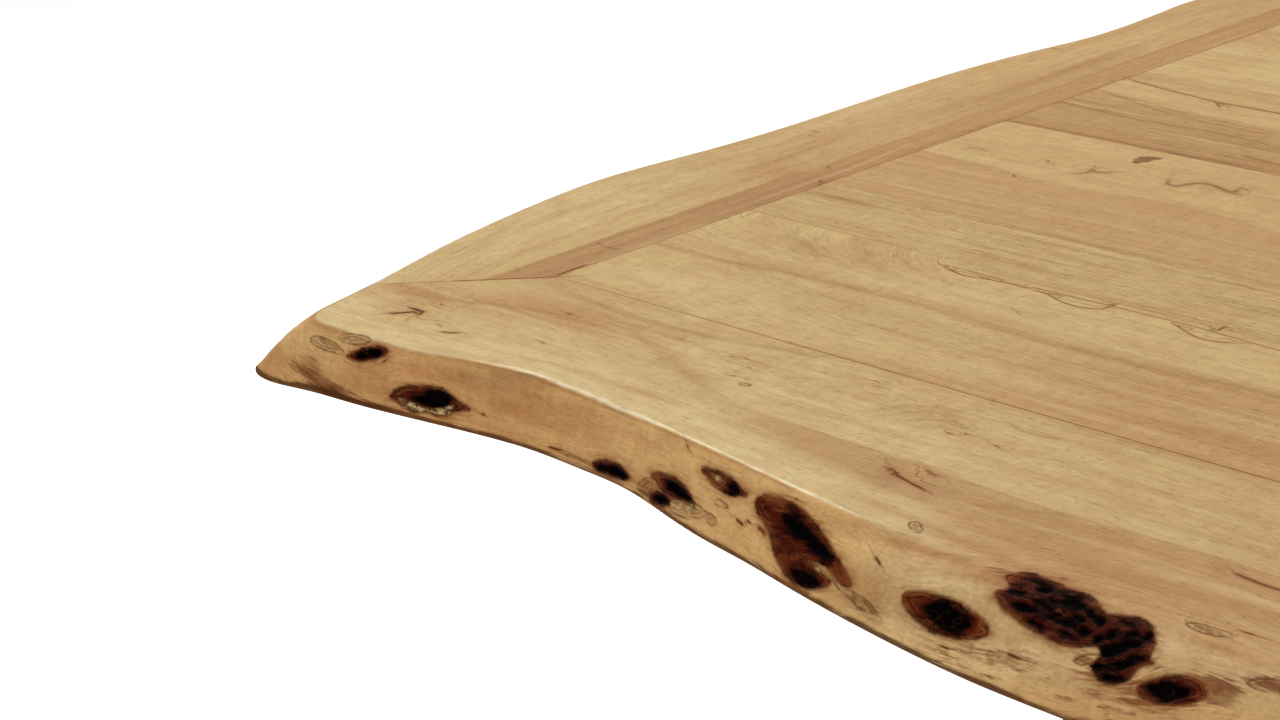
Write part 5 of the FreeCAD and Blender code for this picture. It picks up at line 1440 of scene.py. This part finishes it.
def wood(name):
    m = Nodes(name)
    heart, heart_on, streak = m.split(m.attr("w_heart"))
    red, brown, light = m.split(m.attr("w_tone"))
    rim, core, pale = m.split(m.attr("w_knot"))
    ring, mark, mark_on = m.split(m.attr("w_mark"))
    bevel, curl, painted_rim_shade = m.split(m.attr("w_edge"))
    roll, arris, stain = m.split(m.attr("w_more"))
    g = m.attr("w_grain")
    off = lambda n: m.math("SUBTRACT", n, 0.5)
    # slow waviness of the fibres
    wv = m.noise(m.scale(g, 0.10, 0.45, 0.45), 1.0, 2.0, 0.5)
    gx, gy, gz = m.split(g)
    gyw = m.fma(off(wv), 0.9, gy)
    gw = m.vec(gx, gyw, gz)
    # fibres, streaks, pores (grain coordinates are in cm, x along the fibres)
    broad = m.noise(m.scale(gw, 0.035, 1.3, 1.3), 1.0, 3.0, 0.55)
    lines = m.noise(m.scale(gw, 0.07, 5.5, 5.5), 1.0, 4.0, 0.62)
    fibre = m.noise(m.scale(gw, 0.55, 13.0, 13.0), 1.0, 3.0, 0.62)
    hair = m.noise(m.scale(gw, 2.2, 32.0, 32.0), 1.0, 2.0, 0.6)
    pores = m.remap(m.noise(m.scale(gw, 1.25, 15.0, 15.0), 1.0, 1.0, 0.5), 0.64, 0.72)
    cloud = m.noise(m.scale(g, 0.24, 0.62, 0.62), 1.0, 3.0, 0.55)
    flake = m.noise(m.scale(g, 0.85, 2.6, 2.6), 1.0, 4.0, 0.62)
    speck = m.noise(m.scale(g, 3.2, 7.5, 7.5), 1.0, 2.0, 0.6)
    # figure across the grain
    cur = m.noise(m.scale(gw, 1.55, 0.42, 0.42), 1.0, 2.0, 0.5, 0.6)
    # heartwood with a crisp line
    hw = m.fma(off(lines), 1.6, heart)
    hmask = m.mul(m.remap(hw, -0.5, 0.6), heart_on)
    col = m.mix(m.remap(light, 0.0, 1.0, smooth=False), SAP, STRAW)
    col = m.mix(m.mul(m.remap(cloud, 0.36, 0.68), 0.34), col, RED)
    col = m.mix(hmask, col, HEART)
    col = m.mix(m.math("MINIMUM", m.mul(red, m.remap(broad, 0.2, 0.75, 0.7, 1.25)), 1.0), col, RED)
    col = m.mix(m.math("MINIMUM", m.mul(brown, m.remap(lines, 0.25, 0.7, 0.65, 1.35)), 0.9), col, BROWN)
    # streaks
    st = m.mul(m.remap(lines, 0.50, 0.72), streak)
    col = m.mix(m.math("MINIMUM", m.mul(st, 0.60), 1.0), col, GREYBROWN)
    col = m.mix(m.mul(m.remap(broad, 0.52, 0.72), 0.24), col, BROWN)
    col = m.mix(m.mul(m.remap(broad, 0.46, 0.30), 0.22), col, STRAW)
    # slope colours
    slope = m.mix(m.mul(m.remap(cloud, 0.36, 0.64), 0.62), SLOPE, SLOPE_DEEP)
    slope = m.mix(m.mul(m.remap(flake, 0.52, 0.70), 0.40), slope, SLOPE_BROWN)
    slope = m.mix(m.mul(m.remap(flake, 0.46, 0.32), 0.30), slope, SLOPE_LIGHT)
    slope = m.mix(m.math("MINIMUM", m.mul(light, m.remap(broad, 0.3, 0.7, 0.8, 1.15)), 1.0), slope, SLOPE_LIGHT)
    slope = m.mix(m.math("MINIMUM", m.mul(red, 0.75), 0.9), slope, SLOPE_RED)
    slope = m.mix(m.math("MINIMUM", m.mul(brown, 1.0), 0.9), slope, SLOPE_BROWN)
    slope = m.mix(m.mul(m.remap(lines, 0.50, 0.70), 0.14), slope, SLOPE_BROWN)
    bv = m.remap(m.fma(off(flake), 0.55, bevel), 0.36, 0.64)
    col = m.mix(m.mul(bv, m.math("SUBTRACT", 1.0, roll)), col, slope)
    # fine value changes; darker places are also warmer
    v = m.mul(off(fibre), 0.50)
    v = m.fma(off(hair), 0.37, v)
    v = m.fma(pores, -0.26, v)
    v = m.mul(v, m.mul(m.fma(streak, 0.9, 0.85), m.fma(bv, -0.68, 1.0)))
    v = m.fma(m.mul(off(cur), curl), 0.38, v)
    v = m.fma(off(flake), m.fma(bv, 0.22, 0.24), v)
    v = m.fma(off(speck), m.fma(bv, 0.28, 0.22), v)
    col = m.mix(1.0, col, m.vec(m.add(v, 1.0), m.fma(v, 1.15, 1.0), m.fma(v, 1.4, 1.0)), "MULTIPLY")
    # painted highlight: a pale line along the arris where the light catches the rounded edge
    arris_highlight_mask = m.math("MINIMUM", m.mul(arris, m.remap(flake, 0.35, 0.62, 0.45, 1.25)), 1.0)
    col = m.mix(m.mul(arris_highlight_mask, 0.85), col, ARRIS_HIGHLIGHT)
    # stains, and painted shade on the lower round
    ks = m.noise(m.scale(gw, 0.55, 7.5, 7.5), 1.0, 4.0, 0.62)
    kf = m.noise(m.scale(g, 2.4, 6.0, 6.0), 1.0, 4.0, 0.66)
    sm = m.mul(m.remap(m.add(m.fma(off(ks), 1.6, stain), m.mul(off(kf), 0.9)), 0.18, 0.78), m.remap(stain, 0.02, 0.3))
    stain_colour = m.mix(m.remap(kf, 0.40, 0.60), STAIN, lin(118, 62, 36))
    col = m.mix(m.mul(sm, m.remap(flake, 0.32, 0.66, 0.58, 0.90)), col, stain_colour)
    # painted shade along the lower round of the edge
    rim_shade_n = m.fma(off(ks), 1.1, painted_rim_shade)
    col = m.mix(m.mul(m.remap(rim_shade_n, 0.15, 0.85), 0.88), col, PAINTED_RIM_SHADE)
    # thin marks and cracks
    ma = m.math("ABSOLUTE", m.fma(off(speck), 1.1, mark))
    mm = m.mul(m.remap(ma, 1.25, 0.35), mark_on)
    mh = m.mul(m.remap(ma, 4.0, 0.8), m.mul(mark_on, 0.40))
    col = m.mix(mh, col, lin(164, 96, 54))
    col = m.mix(mm, col, MARK)
    # knots: layers that follow each outline, threads of tan and maroon, a black heart
    layer = m.noise(m.vec(m.mul(rim, 1.3), m.mul(gx, 0.5), m.mul(gyw, 0.5)), 1.0, 3.0, 0.62)
    kb = m.noise(m.scale(g, 0.95, 1.9, 1.9), 1.0, 3.0, 0.55)
    tn = m.noise(m.scale(g, 0.7, 3.4, 3.4), 1.0, 3.0, 0.6, 0.2)
    rimn = m.add(m.fma(off(ks), 3.4, rim), m.mul(off(kf), 2.4))
    corn = m.add(m.fma(off(kf), 4.2, core), m.fma(off(ks), 3.4, m.mul(off(layer), 2.6)))
    palen = m.add(m.fma(off(ks), 3.6, pale), m.mul(off(kf), 2.0))
    halo = m.mul(m.remap(rimn, 6.5, 0.0), m.remap(ks, 0.40, 0.64, 0.10, 0.85))
    col = m.mix(halo, col, HALO)
    col = m.mix(m.mul(m.remap(rimn, 1.8, 0.1), 0.55), col, lin(116, 64, 30))
    depth = m.math("MULTIPLY", rimn, -1.0)
    rw = m.remap(m.noise(m.scale(g, 1.0, 2.4, 2.4), 1.0, 2.0, 0.5), 0.34, 0.56, 0.30, 1.0)
    rg = m.math("ABSOLUTE", m.add(m.fma(off(kf), 1.8, ring), m.mul(off(ks), 1.4)))
    rg2 = m.math("ABSOLUTE", m.add(m.fma(off(kf), 2.2, ring), 1.8))
    ringin = m.remap(ring, 0.4, -1.0)
    col = m.mix(m.mul(ringin, m.remap(ks, 0.50, 0.64, 0.0, 0.5)), col, lin(150, 102, 56))
    col = m.mix(m.mul(m.remap(palen, 0.9, -0.8), 0.75), col, m.mix(m.mul(m.remap(kf, 0.42, 0.60), 0.78), lin(192, 164, 112), lin(136, 92, 52)))
    col = m.mix(m.mul(m.mul(m.remap(rg, 0.95, 0.1), rw), 0.70), col, RINGLINE)
    col = m.mix(m.mul(m.mul(m.remap(rg2, 0.8, 0.1), rw), 0.40), col, RINGLINE)
    inside = m.mix(m.remap(depth, 0.3, 5.4), KNOT_BROWN, KNOT_MAROON)
    inside = m.mix(m.mul(m.remap(kb, 0.42, 0.62), 0.55), inside, KNOT_DARK)
    inside = m.mix(m.mul(m.remap(layer, 0.53, 0.67), m.remap(depth, 5.0, 0.3, 0.12, 0.60)), inside, KNOT_TAN)
    inside = m.mix(m.mul(m.remap(layer, 0.47, 0.36), 0.75), inside, KNOT_DARK)
    inside = m.mix(m.mul(m.remap(ks, 0.57, 0.72), 0.42), inside, KNOT_TAN)
    inside = m.mix(m.mul(m.remap(ks, 0.46, 0.35), 0.65), inside, KNOT_DARK)
    inside = m.mix(m.mul(m.remap(corn, 5.0, 0.4), 0.84), inside, lin(50, 10, 2))
    inside = m.mix(m.mul(m.remap(tn, 0.47, 0.38), m.remap(corn, 5.0, 1.0, 0.0, 0.80)), inside, KNOT_BLACK)
    # thin pale lines in the knots: tan hairline cracks, and painted glints on the dark wood
    crack_and_glint_line = m.mul(m.remap(m.math("ABSOLUTE", off(tn)), 0.022, 0.004), m.remap(kb, 0.46, 0.58))
    inside = m.mix(m.mul(crack_and_glint_line, 0.22), inside, lin(150, 92, 50))
    col = m.mix(m.remap(rimn, 1.1, -1.0), col, inside)
    thread = m.remap(m.math("ABSOLUTE", m.add(rimn, 0.5)), 0.85, 0.1)
    col = m.mix(m.mul(thread, m.remap(kb, 0.44, 0.60, 0.0, 0.55)), col, KNOT_DARK)
    dry = m.mix(m.remap(ks, 0.38, 0.62), PALE_GREY, PALE)
    dry = m.mix(m.mul(m.remap(kf, 0.45, 0.56), 0.88), dry, lin(74, 36, 14))
    dry = m.mix(m.mul(m.remap(layer, 0.54, 0.66), 0.70), dry, lin(96, 56, 28))
    dry = m.mix(m.mul(m.remap(tn, 0.50, 0.59), 0.90), dry, lin(44, 16, 5))
    col = m.mix(m.mul(m.mul(m.remap(palen, 0.9, -0.8), 0.92), m.remap(rimn, 1.5, -1.0)), col, dry)
    col = m.mix(m.remap(corn, 1.2, -0.8), col, m.mix(m.mul(crack_and_glint_line, 0.07), KNOT_BLACK, lin(120, 74, 42)))
    # underside: raw, a little greyer
    low = m.remap(bevel, 0.0, -0.8)
    col = m.mix(m.mul(low, 0.35), col, lin(176, 146, 106))
    m.set(Base_Color=col)
    rough = m.fma(off(fibre), 0.18, 0.42)
    rough = m.fma(off(cloud), 0.14, rough)
    rough = m.fma(low, 0.25, rough)
    rough = m.fma(m.remap(corn, 0.9, -0.6), 0.30, rough)
    m.set(Roughness=rough)
    m.bsdf.inputs["IOR"].default_value = 1.45
    m.bsdf.inputs["Specular IOR Level"].default_value = 0.02
    # relief: fibres and pores, deeper threads in the knots
    knoty = m.remap(rimn, 0.5, -0.5)
    h = m.mul(fibre, 0.12)
    h = m.fma(hair, 0.06, h)
    h = m.fma(pores, -0.12, h)
    h = m.fma(m.mul(lines, bv), 0.12, h)
    h = m.fma(m.mul(flake, bv), 0.50, h)
    h = m.fma(m.mul(kf, knoty), 1.3, h)
    h = m.fma(m.mul(ks, knoty), 0.8, h)
    h = m.fma(mm, -0.5, h)
    h = m.fma(m.remap(rg, 1.0, 0.25), -0.3, h)
    m.put(m.bsdf.inputs["Normal"], m.bump(h, 0.9, 0.0008))
    return m.mat


wood_edge = wood("live_edge_wood")
wood_plank = wood("plank_wood")


def object_wood(name, base, dark, scale=1.0):
    """plain planed wood for battens and hidden joinery, in object space, grain along the object's y axis"""
    m = Nodes(name)
    tc = m.node("ShaderNodeTexCoord").outputs["Object"]
    broad = m.noise(m.scale(tc, 30 * scale, 4 * scale, 60 * scale), 1.0, 3.0, 0.55)
    lines = m.noise(m.scale(tc, 300 * scale, 8 * scale, 300 * scale), 1.0, 4.0, 0.6)
    fibre = m.noise(m.scale(tc, 1500 * scale, 40 * scale, 1500 * scale), 1.0, 2.0, 0.6)
    pores = m.remap(m.noise(m.scale(tc, 1300 * scale, 120 * scale, 1300 * scale), 1.0, 1.0, 0.5), 0.66, 0.73)
    col = m.mix(m.remap(broad, 0.35, 0.7), base, dark)
    col = m.mix(m.mul(m.remap(lines, 0.5, 0.72), 0.5), col, dark)
    v = m.fma(m.math("SUBTRACT", fibre, 0.5), 0.35, 1.0)
    v = m.fma(pores, -0.25, v)
    col = m.mix(1.0, col, m.vec(v, v, v), "MULTIPLY")
    m.set(Base_Color=col, Roughness=m.fma(fibre, 0.2, 0.5))
    m.bsdf.inputs["Specular IOR Level"].default_value = 0.3
    h = m.fma(pores, -0.4, fibre)
    m.put(m.bsdf.inputs["Normal"], m.bump(h, 0.6, 0.0004))
    return m.mat


def powder_coat():
    m = Nodes("black_powder_coat")
    tc = m.node("ShaderNodeTexCoord").outputs["Object"]
    peel = m.noise(tc, 900.0, 2.0, 0.5)
    fine = m.noise(tc, 4200.0, 2.0, 0.6)
    dust = m.noise(tc, 22.0, 4.0, 0.6)
    col = m.mix(m.remap(fine, 0.42, 0.62), lin(24, 24, 25), lin(34, 34, 35))
    col = m.mix(m.mul(m.remap(dust, 0.5, 0.8), 0.22), col, lin(66, 64, 60))
    m.set(Base_Color=col)
    rough = m.fma(m.math("SUBTRACT", dust, 0.5), 0.18, 0.46)
    rough = m.fma(m.math("SUBTRACT", fine, 0.5), 0.10, rough)
    m.set(Roughness=rough)
    h = m.fma(fine, 0.4, peel)
    m.put(m.bsdf.inputs["Normal"], m.bump(h, 0.55, 0.0002))
    return m.mat


def metal(name, base, tint, rough0, scratch=1.0):
    m = Nodes(name)
    tc = m.node("ShaderNodeTexCoord").outputs["Object"]
    grainy = m.noise(tc, 2600.0, 2.0, 0.6)
    blotch = m.noise(tc, 160.0, 3.0, 0.6)
    sc = m.noise(m.scale(tc, 700, 700, 5200), 1.0, 2.0, 0.6)
    col = m.mix(m.remap(blotch, 0.35, 0.7), base, tint)
    col = m.mix(m.mul(m.remap(grainy, 0.5, 0.75), 0.25), col, lin(120, 118, 112))
    m.set(Base_Color=col)
    m.bsdf.inputs["Metallic"].default_value = 1.0
    r = m.fma(m.math("SUBTRACT", blotch, 0.5), 0.22, rough0)
    r = m.fma(m.math("SUBTRACT", sc, 0.5), 0.16 * scratch, r)
    m.set(Roughness=r)
    m.put(m.bsdf.inputs["Normal"], m.bump(m.fma(sc, 0.5, grainy), 0.25, 0.0001))
    return m.mat


def plastic():
    m = Nodes("foot_plastic")
    tc = m.node("ShaderNodeTexCoord").outputs["Object"]
    tex = m.noise(tc, 2400.0, 2.0, 0.55)
    wear = m.noise(tc, 120.0, 4.0, 0.6)
    col = m.mix(m.remap(wear, 0.45, 0.75), lin(30, 30, 32), lin(48, 48, 50))
    m.set(Base_Color=col, Roughness=m.fma(m.math("SUBTRACT", wear, 0.5), 0.25, 0.48))
    m.put(m.bsdf.inputs["Normal"], m.bump(tex, 0.4, 0.0002))
    return m.mat


def rubber():
    m = Nodes("sole_rubber")
    tc = m.node("ShaderNodeTexCoord").outputs["Object"]
    tex = m.noise(tc, 1800.0, 3.0, 0.6)
    dust = m.noise(tc, 90.0, 4.0, 0.65)
    col = m.mix(m.remap(dust, 0.4, 0.8), lin(38, 37, 36), lin(74, 71, 66))
    m.set(Base_Color=col, Roughness=m.fma(m.math("SUBTRACT", dust, 0.5), 0.2, 0.78))
    m.put(m.bsdf.inputs["Normal"], m.bump(tex, 0.6, 0.0003))
    return m.mat


mats = {
    "joinery_wood": object_wood("joinery_wood", lin(206, 180, 138), lin(176, 142, 98)),
    "batten_wood": object_wood("batten_wood", lin(186, 148, 102), lin(146, 104, 64)),
    "black_powder_coat": powder_coat(),
    "zinc_steel": metal("zinc_steel", lin(196, 198, 200), lin(168, 172, 178), 0.34),
    "brass": metal("brass", lin(214, 176, 96), lin(190, 148, 74), 0.30),
    "foot_plastic": plastic(),
    "sole_rubber": rubber(),
}
slot_of = {}
for nm in nodes:
    if "tongue" in nm or nm in ("mitre_splines", "edge_dowels"):
        slot_of[nm] = "joinery_wood"
    elif nm.endswith("_batten"):
        slot_of[nm] = "batten_wood"
    elif "_leg_" in nm and nm.split("_")[0] in ("left", "right"):
        slot_of[nm] = "black_powder_coat"
    elif nm == "threaded_inserts":
        slot_of[nm] = "brass"
    elif nm.endswith("_foot_pad"):
        slot_of[nm] = "foot_plastic"
    elif nm.endswith("_foot_sole"):
        slot_of[nm] = "sole_rubber"
    elif not nm.endswith("_board") and not nm.startswith("field_plank"):
        slot_of[nm] = "zinc_steel"
for nm, sl in slot_of.items():
    me = nodes[nm].data
    if not me.materials:
        me.materials.append(mats[sl])
    for k in range(len(me.materials)):
        me.materials[k] = mats[sl]

for nm, ob in edge_boards.items():
    ob.data.materials.append(wood_edge)
    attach(ob, "table")
    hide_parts(nm)
for ob, body, node, slot in hardware:
    ob.data.materials.append(mats[slot])
    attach(ob, body)
    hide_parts(node)
for ob in leg_welds:
    ob.data.materials.append(mats["black_powder_coat"])
    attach(ob, "table")
for n, ob in enumerate(planks):
    ob.data.materials.append(wood_plank)
    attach(ob, "table")
    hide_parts("field_plank_%d" % (n + 1))

# =====================================================================================
# 8. Camera, light, floor
# =====================================================================================
FOCAL = 2678.944661557321
PITCH, YAW, ROLL = 0.3535934950389353, -0.7894957656717669, -0.039968039870670144
fwd = np.array([math.sin(YAW) * math.cos(PITCH), math.cos(YAW) * math.cos(PITCH), -math.sin(PITCH)])
rt = np.array([math.cos(YAW), -math.sin(YAW), 0.0])
up = np.cross(rt, fwd)
r2 = math.cos(ROLL) * rt + math.sin(ROLL) * up
u2 = -math.sin(ROLL) * rt + math.cos(ROLL) * up
cam_data = bpy.data.cameras.new("camera")
cam_data.sensor_fit = "HORIZONTAL"
cam_data.sensor_width = 36.0
cam_data.lens = 36.0 * FOCAL / 1280.0
cam_data.clip_start, cam_data.clip_end = 0.05, 60.0
cam = bpy.data.objects.new("camera", cam_data)
scene.collection.objects.link(cam)
rot = Matrix((r2, u2, -fwd)).transposed().to_4x4()
rot.translation = (0.051218, -1.276848, 1.210)
cam.matrix_world = rot
scene.camera = cam

world = bpy.data.worlds.new("studio")
world.use_nodes = True
wt = world.node_tree
bg = wt.nodes["Background"]
wtc = wt.nodes.new("ShaderNodeTexCoord")
wsep = wt.nodes.new("ShaderNodeSeparateXYZ")
wmap = wt.nodes.new("ShaderNodeMapRange")
wmap.interpolation_type = "SMOOTHSTEP"
for sck, val in zip(wmap.inputs[1:5], (0.05, 0.95, 0.30, 0.62)):
    sck.default_value = val
wt.links.new(wtc.outputs["Generated"], wsep.inputs[0])
wt.links.new(wsep.outputs[2], wmap.inputs[0])
wray = wt.nodes.new("ShaderNodeLightPath")
wmix = wt.nodes.new("ShaderNodeMix")
wmix.data_type = "FLOAT"
wt.links.new(wray.outputs["Is Camera Ray"], wmix.inputs[0])
wt.links.new(wmap.outputs[0], wmix.inputs[2])
wmix.inputs[3].default_value = 1.0
wt.links.new(wmix.outputs[0], bg.inputs[1])
bg.inputs[0].default_value = (1.0, 0.995, 0.985, 1.0)
scene.world = world


def area(name, loc, target, size, power, color=(1, 1, 1)):
    d = bpy.data.lights.new(name, "AREA")
    d.shape = "RECTANGLE"
    d.size, d.size_y = size
    d.energy = power
    d.color = color
    o = bpy.data.objects.new(name, d)
    scene.collection.objects.link(o)
    v = np.array(target, float) - np.array(loc, float)
    z = -v / np.linalg.norm(v)
    x = np.cross((0, 1, 0), z)
    x /= np.linalg.norm(x)
    y = np.cross(z, x)
    m = Matrix((x, y, z)).transposed().to_4x4()
    m.translation = loc
    o.matrix_world = m
    return o


area("key", (-2.2, 1.0, 3.4), (-0.3, 0.0, 0.7), (3.0, 3.0), 72.0, (1.0, 0.99, 0.97))
area("front_fill", (1.6, -3.4, 2.0), (-0.4, -0.2, 0.6), (2.6, 2.0), 30.0, (1.0, 1.0, 1.0))

floor_verts = np.array([(-6, -6, 0), (6, -6, 0), (6, 6, 0), (-6, 6, 0)], float)
floor = make_mesh("floor", floor_verts, [(0, 1, 2, 3)], False)
fm = Nodes("floor_pale")
ftc = fm.node("ShaderNodeTexCoord").outputs["Object"]
fcol = fm.mix(fm.remap(fm.noise(ftc, 1.2, 3.0, 0.5), 0.3, 0.7), lin(246, 246, 245), lin(249, 249, 248))
fm.set(Base_Color=fcol)
fm.bsdf.inputs["Roughness"].default_value = 0.9
fm.bsdf.inputs["Specular IOR Level"].default_value = 0.0
fm.bsdf.inputs["Emission Color"].default_value = (1, 1, 1, 1)
fm.bsdf.inputs["Emission Strength"].default_value = 0.42
floor.data.materials.append(fm.mat)

scene.view_settings.view_transform = "Standard"
scene.view_settings.look = "None"
